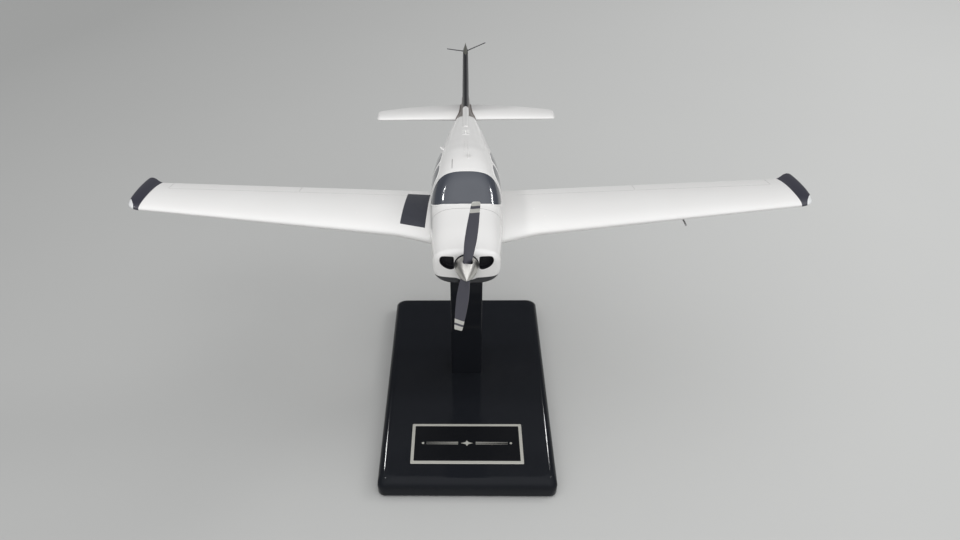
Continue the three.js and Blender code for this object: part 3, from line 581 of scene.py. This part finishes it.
def fuselage():
    body = solid("fuselage_shell", *fuselage_skin(), material=white_paint)
    recesses = solid("recesses", *joined(*glazing_prisms(GLAZING_GAP).values()))
    cut(recesses, fuselage_skin(-GLAZING_DEPTH - GLAZING_GAP))
    recesses.data.materials.clear()
    recesses.data.materials.append(screen_black)
    boolean(body, recesses, "DIFFERENCE")
    clear = NOSE_FACE - 5
    cut(body, joined(*(prism_aft([(x * side, z) for x, z in INLET], clear, NOSE_FACE + INLET_DEPTH)
                       for side in (1, -1))), material=screen_black)
    cut(body, fuselage_seams(), material=seam_grey)
    cut(body, lathe([(0, clear), (BORE_R, clear), (BORE_R, BORE_END), (0, BORE_END)], 48, SHAFT_Z))
    zone(body, "belly", belly_paint)
    # The tail cone behind tail_line takes the tail-root colour: dark paint with painted reflection and
    # painted shade.
    zone(body, "tail_root_paint_and_shade", lambda x, y, z: y - tail_line(abs(x)))
    zone(body, "inlet", inlet_paint)
    ready(body, "airplane", "white_paint", "fuselage")


def inlet_screens():
    """A back plate, a round rim and crossed wires in each inlet."""
    def bar(points, radius, sides=6, closed=False):
        return sweep(points, [Vector((0, 1, 0))] * len(points), lambda share: circle(radius, sides), closed)
    wire, pitch, depth, shortest = 0.28, 1.1, NOSE_FACE + INLET_DEPTH - 1.2, 4
    inner, outer, foot, top = 7.6, 16, 14.4, 23
    for name, side in SIDES.items():
        outline = [(x * side, z) for x, z in grown(INLET, -0.35)]
        parts = [prism_aft(outline, depth + 0.4, depth + 0.9),
                 bar([Vector((x, depth, z)) for x, z in outline], 0.3, 8, closed=True)]
        for k in range(1, 9):
            x = side * (inner + k * pitch)
            heights = [z for z in steps(foot, top, 80) if inside_outline(x, z, outline) > 0.1]
            if len(heights) > shortest:
                parts.append(bar([Vector((x, depth, z)) for z in (heights[0], heights[-1])], wire / 2))
            z = foot + k * pitch
            widths = [x * side for x in steps(inner, outer, 80)
                      if inside_outline(x * side, z, outline) > 0.1]
            if len(widths) > shortest:
                parts.append(bar([Vector((x, depth + wire, z)) for x in (widths[0], widths[-1])], wire / 2))
        fitting(f"inlet_mesh_{name}", joined(*parts), f"inlet_screen_{name}", slot="dark_screen",
                material=screen_black)


def spine():
    """The raised dorsal strip ahead of the fin and the low ridges behind the roof antenna."""
    front, rear = 109.5, 176
    width = profile([(0, 3.2), (0.05, 4.6), (0.3, 5), (0.9, 5), (0.97, 3.6), (1, 1)])
    path = on_skin([(y, math.pi / 2) for y in steps(front, rear, 60)], 0.9)
    strip = sweep(*path, lambda share: bead(width(share), 0.75, 0.6, 12))
    fitting("dorsal_strip", strip)
    along_ridges = [sweep(*on_skin([(y, turn_over(x, y)) for y in steps(42, 66, 24)]),
                          lambda share: bead(0.7, 0.22 * math.sin(math.pi * share) ** 0.3))
                    for x in (-1.3, 1.3)]
    cross_ridges = [sweep(*on_skin([(y, turn_over(x, y)) for x in steps(-2.6, 2.6, 8)]),
                          lambda share: bead(0.6, 0.2)) for y in (85, 92.5, 98)]
    fitting("spine_ridges", joined(*along_ridges, *cross_ridges))


# ---- Wings ----
def foil_thickness(s):
    return 5 * (0.2969 * math.sqrt(s) - 0.126 * s - 0.3516 * s**2 + 0.2843 * s**3 - 0.1015 * s**4)


def foil_height(s, thickness, camber, side):
    """Height over chord at a share of the chord, on the upper side (1) or the lower side (-1)."""
    return camber * 4 * s * (1 - s) + side * (thickness * foil_thickness(s) + 0.002)


def foil(thickness, camber, count=36):
    """(share of chord, height over chord) round an airfoil, from tail over the top and back."""
    shares = [(1 - math.cos(t)) / 2 for t in steps(0, math.pi, count)]
    return ([(s, foil_height(s, thickness, camber, 1)) for s in shares[::-1]]
            + [(s, foil_height(s, thickness, camber, -1)) for s in shares[1:]])


DIHEDRAL = math.tan(math.radians(5.05))
SWEEP = math.tan(math.radians(2.9))
ROOT_X, ROOT_CHORD, ROOT_RATIO = 25, 66, 0.15
TIP_X, TIP_CHORD, TIP_RATIO = 216, 40, 0.125
GLOVE_REACH, GLOVE_END, GLOVE_RUN = 5.6, 48, 26     # where the leading edge comes forward at the root
CAMBER = 0.02
WING_END = 229.6
tip_leading, tip_trailing, tip_thickness = table([
    (TIP_X, 10.94, 50.94, 5.08), (220, 11.2, 53.2, 5.0), (223.6, 12, 56.4, 4.7), (226.2, 13.8, 57.6, 4.1),
    (227.6, 16, 57.2, 3.5), (228.6, 19, 54.8, 2.6), (229.2, 23, 50, 1.6), (WING_END, 27, 44, 0.3)])
tip_edge = profile([(5, 219.5), (12, 219.2), (18, 218.6), (25, 218.1), (44, 217.5), (54, 216.5), (62, 215.8)])
LENS = rounded([(222.4, 8), (223.3, 14), (225.6, 18.2), (228, 22.4), (236, 25), (236, 8)], 2)
# The walk's front and rear edges, from the inboard corner to the outboard one.
WALK_FRONT, WALK_REAR = ((27.5, 5.5), (44.4, 9.6)), ((25.8, 57.2), (42.1, 56.7))


def wing_leading(x):
    return x * SWEEP - GLOVE_REACH * max(0.0, (GLOVE_END - x) / GLOVE_RUN) ** 1.25


def wing_trailing(x):
    share = (x - ROOT_X) / (TIP_X - ROOT_X)
    return (1 - share) * (ROOT_X * SWEEP + ROOT_CHORD) + share * (TIP_X * SWEEP + TIP_CHORD)


def wing_ratio(x):
    return ROOT_RATIO - (ROOT_RATIO - TIP_RATIO) * (x - ROOT_X) / (TIP_X - ROOT_X)


def wing_ring(x):
    if x <= TIP_X:
        leading, trailing, ratio, camber = wing_leading(x), wing_trailing(x), wing_ratio(x), CAMBER
    else:
        leading, trailing = tip_leading(x), tip_trailing(x)
        ratio = tip_thickness(x) / (trailing - leading)
        camber = CAMBER * (1 - 0.4 * min(1, (x - TIP_X) / 4))
    chord = trailing - leading
    return [Vector((x, leading + s * chord, t * chord + x * DIHEDRAL)) for s, t in foil(ratio, camber)]


def wing_z(x, y, side=1):
    """Height of the wing's upper skin (1) or lower skin (-1) at a place in plan."""
    chord = wing_trailing(x) - wing_leading(x)
    s = max(0.0, min(1.0, (y - wing_leading(x)) / chord))
    return foil_height(s, wing_ratio(x), CAMBER, side) * chord + x * DIHEDRAL


def wing_solid():
    tip = [TIP_X + (WING_END - TIP_X) * math.sin(t) for t in steps(0, math.pi / 2, 26)]
    return loft([wing_ring(x) for x in steps(12, TIP_X, 72)[:-1] + tip])


def wing_seams():
    """Flap and aileron lines on the upper and lower skins."""
    inner, split, outer, hinge = 36, 119, 208, 12.5
    lines = [(x0, wing_trailing(x0) - hinge, x1, wing_trailing(x1) - hinge)
             for x0, x1 in ((inner, split - 0.4), (split + 0.4, outer))]
    lines += [(x, wing_trailing(x) - hinge + 0.6, x, wing_trailing(x) - 1) for x in (split, outer + 0.5)]

    def groove(side, x0, y0, x1, y1):
        path = [Vector((x0 + (x1 - x0) * t, y0 + (y1 - y0) * t, 0)) for t in steps(0, 1, 30)]
        for p in path:
            p.z = wing_z(p.x, p.y, side)
        return sweep(path, [Vector((0, 0, side))] * len(path), lambda share: circle(0.13, 6))
    return joined(*(groove(side, *line) for side in (1, -1) for line in lines))


def root_fillet(name, side, ring, radius, start, area, inside):
    """A concave fairing where a lofted surface, given as ring(x), meets the fuselage."""
    rings = []
    for k in range(len(ring(start))):
        low, high = 1.0, start
        for _ in range(30):
            middle = (low + high) / 2
            p = ring(middle)[k]
            buried = bottom_z(p.y) < p.z < top_z(p.y) and abs(p.x) < skin_x(p.y, p.z)
            low, high = (middle, high) if buried else (low, middle)
        corner, out = ring(high)[k], ring(high + radius)[k]
        away = (corner - sum(ring(high), Vector()) / len(ring(high))).normalized()
        away = Vector((0, 0, math.copysign(1, away.z))) * abs(away.z) ** 0.3 + Vector((0, away.y * 0.4, 0))
        climb = corner + away.normalized() * radius
        climb.x = skin_x(climb.y, climb.z)
        inner = corner + Vector((-0.8, 0, 0)) - away * 0.5
        bow = [out.lerp(corner, t).lerp(corner.lerp(climb, t), t) for t in steps(0, 1, 8)]
        rings.append([out - away * 0.25] + bow + [climb - Vector((0.5, 0, 0)), inner])
    fillet = solid(name, *facing(loft(rings), side))
    zone(fillet, area, inside)
    ready(fillet, "airplane", "white_paint", material=white_paint, angle=60)


def walk_slab():
    """The non-slip strip on the right wing, following its skin, with thin edges."""
    front, rear = ([Vector((*corner, 0)) for corner in edge] for edge in (WALK_FRONT, WALK_REAR))
    proud, edge, buried = 0.15, 0.03, 0.3
    across = [0, 0.02] + steps(0.06, 0.94, 14) + [0.98, 1]
    rings = []
    for t in [0, 0.006] + steps(0.02, 0.98, 44) + [0.994, 1]:
        row = [front[0].lerp(rear[0], t).lerp(front[1].lerp(rear[1], t), u) for u in across]
        rises = [edge if t in (0, 1) or u in (0, 1) else proud for u in across]
        top = [Vector((-p.x, p.y, wing_z(p.x, p.y) + rise)) for p, rise in zip(row, rises)]
        rings.append(top + [Vector((-p.x, p.y, wing_z(p.x, p.y) - buried)) for p in reversed(row)])
    return loft(rings)


def wings():
    for name, side in SIDES.items():
        wing = solid(f"wing_panel_{name}", *facing(wing_solid(), side), material=white_paint)
        lens = prism_up([(x * side, y) for x, y in LENS], 0, 40)
        cut(wing, lens)
        cut(wing, fuselage_skin(-0.4, 96))
        cut(wing, facing(wing_seams(), side), material=seam_grey)
        zone(wing, "charcoal", lambda x, y, z: abs(x) - tip_edge(y))
        ready(wing, "airplane", "white_paint", f"wing_{name}")
        light = solid(f"tip_light_{name}", *facing(wing_solid(), side))
        cut(light, lens, operation="INTERSECT")
        ready(light, "airplane", "clear_lens", f"wingtip_light_{name}", material=lens_clear)
        root_fillet(f"wing_fillet_{name}", side, wing_ring, 3.2, 34, "belly", belly_paint)
    fitting("wing_walk_strip", walk_slab(), "wing_walk", slot="grip_strip", material=grip_black)


# ---- Tail ----
TAILPLANE_Z = 19.7
tail_leading, tail_trailing, tail_thickness = table([
    (2, 162.6, 197.6, 4.6), (18, 163.4, 196.4, 4.4), (47, 163.6, 191.6, 3.6), (58, 163.6, 188.6, 3.2),
    (68, 163.6, 185.4, 2.8), (72, 163.9, 183.8, 2.6), (73.6, 164.8, 182.8, 1.8), (74.5, 166.6, 181, 0.3)])
fin_leading, fin_trailing, fin_thickness = table([
    (15.5, 176, 232, 4.6), (22, 176.2, 236, 5.2), (30, 176.6, 232, 5.2), (48, 177, 221.5, 4.8),
    (66, 177.2, 211, 4.2), (69.4, 177.8, 209, 3.7), (71, 180, 207, 1.2)])
FIN_FOOT, FIN_SHOULDER = 15.5, 69.4
FIN_CAP_Z, FIN_CAP_FRONT = 66.4, 196
FIN_GREY_Z = 69.8       # ahead of the cap, the fin is grey over this height


def tailplane_ring(x):
    leading, chord = tail_leading(x), tail_trailing(x) - tail_leading(x)
    return [Vector((x, leading + s * chord, TAILPLANE_Z + t * chord))
            for s, t in foil(tail_thickness(x) / chord, 0)]


def fin_solid():
    rings = []
    top = [FIN_SHOULDER + 1.6 * math.sin(t) for t in steps(0.15, math.pi / 2, 10)]
    for z in steps(FIN_FOOT, FIN_SHOULDER, 44) + top:
        leading, chord = fin_leading(z), fin_trailing(z) - fin_leading(z)
        rings.append([Vector((t * chord, leading + s * chord, z))
                      for s, t in foil(fin_thickness(z) / chord, 0)])
    return loft(rings)


def tail():
    hull = fuselage_skin(-0.3, 96)
    stations = steps(2, 70, 34) + [70 + 4.5 * math.sin(t) for t in steps(0.12, math.pi / 2, 18)]
    left_half = loft([tailplane_ring(x) for x in stations])
    for name, side in SIDES.items():
        half = solid(f"tailplane_panel_{name}", *facing(left_half, side), material=white_paint)
        cut(half, hull)
        ready(half, "airplane", "white_paint", f"tailplane_{name}")
        # The tailplane root fillets take the tail-root colour all over, which is painted shade in the root
        # creases.
        root_fillet(f"tailplane_fillet_{name}", side, tailplane_ring, 1.3, 16, "tail_root_paint_and_shade", all_over)
    behind, above = 226, 86
    cap = prism_across([(FIN_CAP_FRONT, FIN_CAP_Z), (behind, FIN_CAP_Z), (behind, above),
                        (FIN_CAP_FRONT, above)], -6, 6)
    fin = solid("fin_panel", *fin_solid(), material=charcoal_paint)
    cut(fin, cap)
    cut(fin, hull)
    zone(fin, "cap", lambda x, y, z: z - FIN_GREY_Z)
    ready(fin, "airplane", "charcoal_paint", "fin")
    tip = solid("fin_cap_block", *fin_solid())
    cut(tip, cap, operation="INTERSECT")
    zone(tip, "cap", all_over)
    ready(tip, "airplane", "white_paint", "fin_cap", material=white_paint)


# ---- Antennas and pitot tube ----
WHISKER_ROOT = Vector((0, 190.5, 68.6))
WHISKER_TIPS = {"left": Vector((16.6, 192, 75.2)), "right": Vector((-15.4, 192, 70.4))}


def rod(points, radii, sides=14):
    """A round rod along points, with its own radius at each."""
    rings = []
    for i, (point, radius) in enumerate(zip(points, radii)):
        along = (points[min(i + 1, len(points) - 1)] - points[max(i - 1, 0)]).normalized()
        side = along.cross(Vector((0.3, 0.2, 0.9))).normalized()
        up = side.cross(along)
        rings.append([point + side * a + up * b for a, b in circle(radius, sides)])
    return loft(rings)


def whiskers():
    for name, tip in WHISKER_TIPS.items():
        start = WHISKER_ROOT.lerp(tip, 0.05)
        shares = [0, 0.03, 0.06, 0.1, 0.2, 0.4, 0.6, 0.8, 0.97, 0.99, 1]
        radii = [0.5, 0.62, 0.62, 0.42, 0.4, 0.39, 0.38, 0.37, 0.36, 0.28, 0.08]
        fitting(f"whisker_{name}", rod([start.lerp(tip, t) for t in shares], radii),
                f"whisker_antenna_{name}", slot="steel", material=dark_steel)


def antennas():
    """Small swept blade antennas on the skin: length, height, x, y and lean in degrees."""
    places = {"roof": (6, 3.2, 1.6, 34, 0), "spine": (4, 1.8, 0, 90, 0), "shoulder": (4.4, 3.2, -16, 68, -58)}
    for name, (length, height, x, y, lean) in places.items():
        rings = []
        turn = Matrix.Rotation(math.radians(lean), 3, "Y")
        foot = skin(y, turn_over(x, y))
        for t in [-0.25] + steps(0, 1, 12):
            chord = length * (1 - 0.62 * max(t, 0) ** 1.2)
            leading = length * (-0.5 + 0.56 * max(t, 0))
            thickness = 0.9 * (1 - 0.4 * max(t, 0)) * (1 if t < 0.95 else 0.4)
            rings.append([turn @ Vector((h * chord, leading + s * chord, t * height)) + foot
                          for s, h in foil(thickness / chord, 0, 14)])
        fitting(f"{name}_blade", loft(rings), f"{name}_antenna")


def pitot():
    """A thin tube on a mast under the left wing."""
    x, drop, front, chord = 144.5, 2.6, 12.3, 3.4
    z = x * DIHEDRAL - 1.6 - drop
    tube = rod([Vector((x, y, z)) for y in (5, 5.3, 6, 12, 14.4, 15)], [0.3, 0.5, 0.6, 0.6, 0.6, 0.2], 18)
    mast = loft([[Vector((x + h * chord, front + s * chord, z + t)) for s, h in foil(0.3, 0, 10)]
                 for t in (0, 1, 2, 4)])
    fitting("pitot_probe", joined(tube, mast), "pitot_tube", slot="steel", material=steel)


# ---- Propeller ----
PROP_RADIUS = 44.9
ROOT_TWIST, TIP_TWIST = 34, 14
SPINNER_R, SPINNER_LENGTH, SPINNER_WALL, SPINNER_RIM = 7, 15.8, 1, 4.0
BLADE_SLOT_WIDTH, BLADE_SLOT_DEPTH = 6, 4.5
blade_chord, blade_thickness = table([
    (2, 5.6, 2.6), (6, 6.1, 2.4), (12, 7.2, 2), (20, 8, 1.7), (28, 7.5, 1.45), (36, 6.4, 1.2),
    (42, 5.5, 1.05), (44.2, 5.0, 0.85), (PROP_RADIUS, 4.3, 0.3)])
BANDS = {"upper": ((38.1, 40.7), (42.4, 46)), "lower": ((36.9, 39.9), (41.4, 46))}


def blade():
    """The upper blade, twisted from root to tip."""
    rings = []
    for r in steps(2, 42, 40) + [42 + 2.9 * math.sin(t) for t in steps(0.1, math.pi / 2, 14)]:
        turn = math.radians(ROOT_TWIST - (ROOT_TWIST - TIP_TWIST) * (r - 5) / (PROP_RADIUS - 5))
        chord = blade_chord(r)
        ring = []
        for s, t in foil(blade_thickness(r) / chord, 0.04, 18):
            along, across = (s - 0.5) * chord, t * chord
            ring.append(Vector((along * math.cos(turn) - across * math.sin(turn),
                                along * math.sin(turn) + across * math.cos(turn), r)))
        rings.append(ring)
    return loft(rings)


def band_paint(x, y, z):
    return max(min(abs(z) - low, high - abs(z)) for low, high in BANDS["upper" if z > 0 else "lower"])


def spinner_radius(share):
    return SPINNER_R * (1 - share**1.7)


def propeller():
    points, faces = blade()
    lower = ([Vector((-p.x, p.y, -p.z)) for p in points], faces)
    centre = lathe([(0, -3), (3.2, -3), (3.6, -2.6), (3.6, 2.6), (3.2, 3), (0, 3)], 48)
    piece = solid("propeller_blades", *joined((points, faces), lower, centre), PROPELLER)
    zone(piece, "band", band_paint)
    ready(piece, "propeller", "propeller_paint", "propeller", material=propeller_paint)
    point, depth = 0.02, SPINNER_LENGTH - 2.4
    outer = [(max(spinner_radius(t), point), SPINNER_RIM - SPINNER_LENGTH * t) for t in steps(1, 0, 48)]
    inner = [(max(spinner_radius(t * depth / SPINNER_LENGTH) - SPINNER_WALL, point), SPINNER_RIM - depth * t)
             for t in steps(0, 1, 24)]
    spinner = solid("spinner_shell", *lathe(outer + inner), PROPELLER, spinner_silver)
    x, y = BLADE_SLOT_WIDTH / 2, BLADE_SLOT_DEPTH / 2
    cut(spinner, prism_up(rounded([(-x, -y), (x, -y), (x, y), (-x, y)], 2), -14, 14), PROPELLER)
    ready(spinner, "propeller", "satin_silver", "spinner")
    # A black ring on the nose is painted shade: it gives the dark line of the shadowed gap behind the
    # spinner's rim.
    hole, rim, front, back = 5.2, 7.35, NOSE_FACE - 0.25, NOSE_FACE + 0.2
    gap_shade_ring = lathe([(hole, front), (rim, front), (rim, back), (hole, back)], height=SHAFT_Z, closed=True)
    fitting("spinner_gap_shade_ring", gap_shade_ring, slot="charcoal_paint", material=screen_black, angle=32)


# ---- Stand ----
def stand_box(node):
    """A stand node's size and place: width, depth, middle along y, bottom and top."""
    low, high = (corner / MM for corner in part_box(node))
    return high.x - low.x, high.y - low.y, (low.y + high.y) / 2, low.z, high.z


def slab(width, depth, y, layers, arc=12):
    """A block with round upright edges, from (inset, corner, z) layers."""
    rings = []
    for inset, corner, z in layers:
        across, aft = width / 2 - inset - corner, depth / 2 - inset - corner
        rings.append([(sx * across + corner * math.cos(turn), y + sy * aft + corner * math.sin(turn), z)
                      for sx, sy, start in ((1, 1, 0), (-1, 1, 90), (-1, -1, 180), (1, -1, 270))
                      for turn in steps(math.radians(start), math.radians(start + 90), arc)])
    return loft(rings)


def base():
    width, depth, _, bottom, top = stand_box("base")
    roundover, corner, top_corner = 7, 5, 8
    layers = [(0.6, corner, bottom), (0.15, corner, bottom + 0.2), (0, corner, bottom + 0.8)]
    layers += [(roundover * (1 - math.cos(turn)), corner + (top_corner - corner) * math.sin(turn),
                top - roundover * (1 - math.sin(turn))) for turn in steps(0, math.pi / 2, 20)]
    layers.append((roundover + 0.5, top_corner, top))
    block = solid("base_block", *slab(width, depth, 0, layers), STAND)
    ready(block, "stand", "black_lacquer", "base", material=lacquer)


def pad():
    width, depth, _, _, top = stand_box("felt_pad")
    layers = [(inset, 5, z) for inset, z in ((0.4, 0), (0, 0.3), (0, top - 0.2), (0.3, top))]
    sheet = solid("felt_sheet", *slab(width, depth, 0, layers), STAND)
    ready(sheet, "stand", "felt", "felt_pad", material=felt)


def post():
    """A post whose top is cut to the hull, with a little clearance."""
    width, depth, middle, bottom, top = stand_box("post")
    layers = [(0, 1.5, z) for z in steps(bottom, top + 8, 40)]
    column = solid("post_column", *slab(width, depth, middle, layers), STAND, lacquer)
    cut(column, fuselage_skin(0.12, 96))
    ready(column, "stand", "black_lacquer", "post")


def nameplate():
    """A black plate with a bare metal border and a plain engraved ornament in place of lettering."""
    width, depth, middle, bottom, top = stand_box("nameplate")
    top -= 0.1
    border, start, end, half = 2.3, 6.5, 30, 0.32
    layers = [(inset, 0.8, z) for inset, z in ((0.15, bottom), (0, bottom + 0.15), (0, top - 0.25),
                                               (0.25, top), (0.6, top))]
    plate = solid("plate_body", *slab(width, depth, middle, layers, 6), STAND)
    ready(plate, "stand", "nameplate", "nameplate", material=plate_silver)
    layers = [(border + inset, 0.5, z) for inset, z in ((0, top - 0.2), (0, top + 0.03), (0.04, top + 0.05),
                                                        (0.3, top + 0.05))]
    panel = solid("plate_panel", *slab(width, depth, middle, layers, 6), STAND)
    ready(panel, "stand", "nameplate", material=plate_black)
    marks = [[(0, 2.6), (-1.1, 0.9), (-4.6, 0), (-1.1, -0.9), (0, -2.6), (1.1, -0.9), (4.6, 0), (1.1, 0.9)]]
    for side in (1, -1):
        marks += [[(side * start, lift + half), (side * start, lift - half), (side * end, lift - 0.1),
                   (side * end, lift + 0.1)][::side] for lift in (0.75, -0.75)]
        marks.append([(side * (end + 2.4) + a, b) for a, b in circle(0.9, 24)])
    shapes = [prism_up([(x, middle + y) for x, y in mark], top, top + 0.08) for mark in marks]
    ornament = solid("plate_ornament", *joined(*shapes), STAND)
    ready(ornament, "stand", "nameplate", material=plate_silver)


# ---- CAD nodes that stay, with their finishes ----
def carried_over():
    # The spinner's back plate is black as painted shade, so the gap behind the spinner's rim reads dark.
    finishes = {"propeller_shaft": steel, "shaft_bush": brass, "shaft_collar": brass,
                "spinner_backplate": screen_black, "tailplane_dowel": hardwood}
    for name, material in (("post_screw", steel), ("mounting_pin", steel), ("fin_dowel", hardwood),
                           ("wing_dowel_left", hardwood), ("wing_dowel_right", hardwood)):
        finishes[f"{name}_front"] = finishes[f"{name}_rear"] = material
    for name, material in finishes.items():
        frame["nodes"][name].material_slots[0].material = material


# ---- Floor, light and camera ----
ROOM_DIM, ROOM_BRIGHT = 0.18, 1.49
# Each lamp: place, target, size, power in watts, whether it only glints, and what it lights.
LAMPS = {"window_left": ((-0.96, 0.12, 1.42), (0, 0, 0.17), (0.025, 0.13), 1.0, True, "all"),
         "window_right": ((1.16, 0.32, 1.16), (0, 0, 0.17), (0.022, 0.15), 0.95, True, "all"),
         "stand_left": ((-0.95, 0.89, 0.95), (0, -0.05, 0), (0.08, 0.2), 7, True, "base"),
         "stand_right": ((0.9, 0.92, 0.92), (0, -0.05, 0), (0.08, 0.2), 6, True, "base"),
         "room_left": ((-0.96, 0.06, 1.42), (0, 0, 0.17), (0.1, 0.2), 4.4, False, "model"),
         "room_right": ((1.16, 0.32, 1.16), (0, 0, 0.17), (0.4, 0.4), 2.8, False, "all")}


def shade_floor(tree):
    """Darkens the paper towards its far left, away from the windows."""
    place = add_node(tree, "ShaderNodeTexCoord").outputs["Object"]
    share = ranged(tree, reach_along(tree, place, (-0.85, 0.35, 0)), From_Min=-0.3, From_Max=0.9, To_Max=0.5)
    surface = tree.nodes["Principled BSDF"]
    colour = surface.inputs["Base Color"].links[0].from_socket
    tree.links.new(mixed(tree, share, colour, (0.16, 0.16, 0.155, 1)), surface.inputs["Base Color"])


def studio():
    """The paper floor, the room's light and the lamps. The base block has to be there already."""
    reach = 6000
    sheet = prism_up([(-reach, -reach), (reach, -reach), (reach, reach), (-reach, reach)], -2, 0)
    paper = finish("floor_grey", ((0.595, 0.595, 0.577), (0.625, 0.625, 0.606)), (0.75, 0.85), 400)
    shade_floor(paper.node_tree)
    floor = solid("floor", *sheet, STAND, paper)
    world = bpy.data.worlds.new("studio")
    world.use_nodes = True
    tree = world.node_tree
    # The room is bright over and behind the camera, and dim at the back wall that the stand mirrors.
    height = reach_along(tree, add_node(tree, "ShaderNodeTexCoord").outputs["Generated"],
                         Vector((0.12, -0.38, 0.92)).normalized())
    glow = ranged(tree, height, From_Min=0.33, From_Max=0.92, To_Min=ROOM_DIM, To_Max=ROOM_BRIGHT)
    background = tree.nodes["Background"]
    background.inputs["Color"].default_value = (0.97, 0.98, 1.0, 1)
    tree.links.new(glow, background.inputs["Strength"])
    bpy.context.scene.world = world
    bpy.context.scene.view_settings.view_transform = "Standard"
    lit = {"all": None, "base": bpy.data.collections.new("base_only"),
           "model": bpy.data.collections.new("all_but_floor")}
    lit["base"].objects.link(bpy.data.objects["base_block"])
    lit["model"].objects.link(floor)
    lit["model"].collection_objects[0].light_linking.link_state = "EXCLUDE"
    for name, (place, aim, size, power, glint, lights) in LAMPS.items():
        data = bpy.data.lights.new(name, "AREA")
        data.shape = "RECTANGLE"
        data.size, data.size_y = size
        data.energy = power
        lamp = bpy.data.objects.new(name, data)
        lamp.location = place
        lamp.rotation_euler = (Vector(aim) - Vector(place)).to_track_quat("-Z", "Y").to_euler()
        lamp.visible_diffuse, lamp.visible_glossy = not glint, glint
        lamp.light_linking.receiver_collection = lit[lights]
        bpy.context.scene.collection.objects.link(lamp)


def camera():
    """A phone-like camera that looks down at the nose, turned a little to its left and rolled."""
    place, down, left, roll = (-0.00081, -0.4095, 0.4431), 37.69, 1.846, -1.321
    data = bpy.data.cameras.new("camera")
    data.lens, data.sensor_width, data.shift_x = 27, 36, 0.0345
    eye = bpy.data.objects.new("camera", data)
    eye.matrix_world = Matrix.Translation(place)
    for angle, axis in ((left, "Z"), (90 - down, "X"), (roll, "Z")):
        eye.matrix_world @= Matrix.Rotation(math.radians(angle), 4, axis)
    bpy.context.scene.collection.objects.link(eye)
    bpy.context.scene.camera = eye


camera()
carried_over()
base()
studio()
pad()
post()
nameplate()
fuselage()
glazing_panes()
glazing_frames()
inlet_screens()
spine()
wings()
tail()
whiskers()
antennas()
pitot()
propeller()
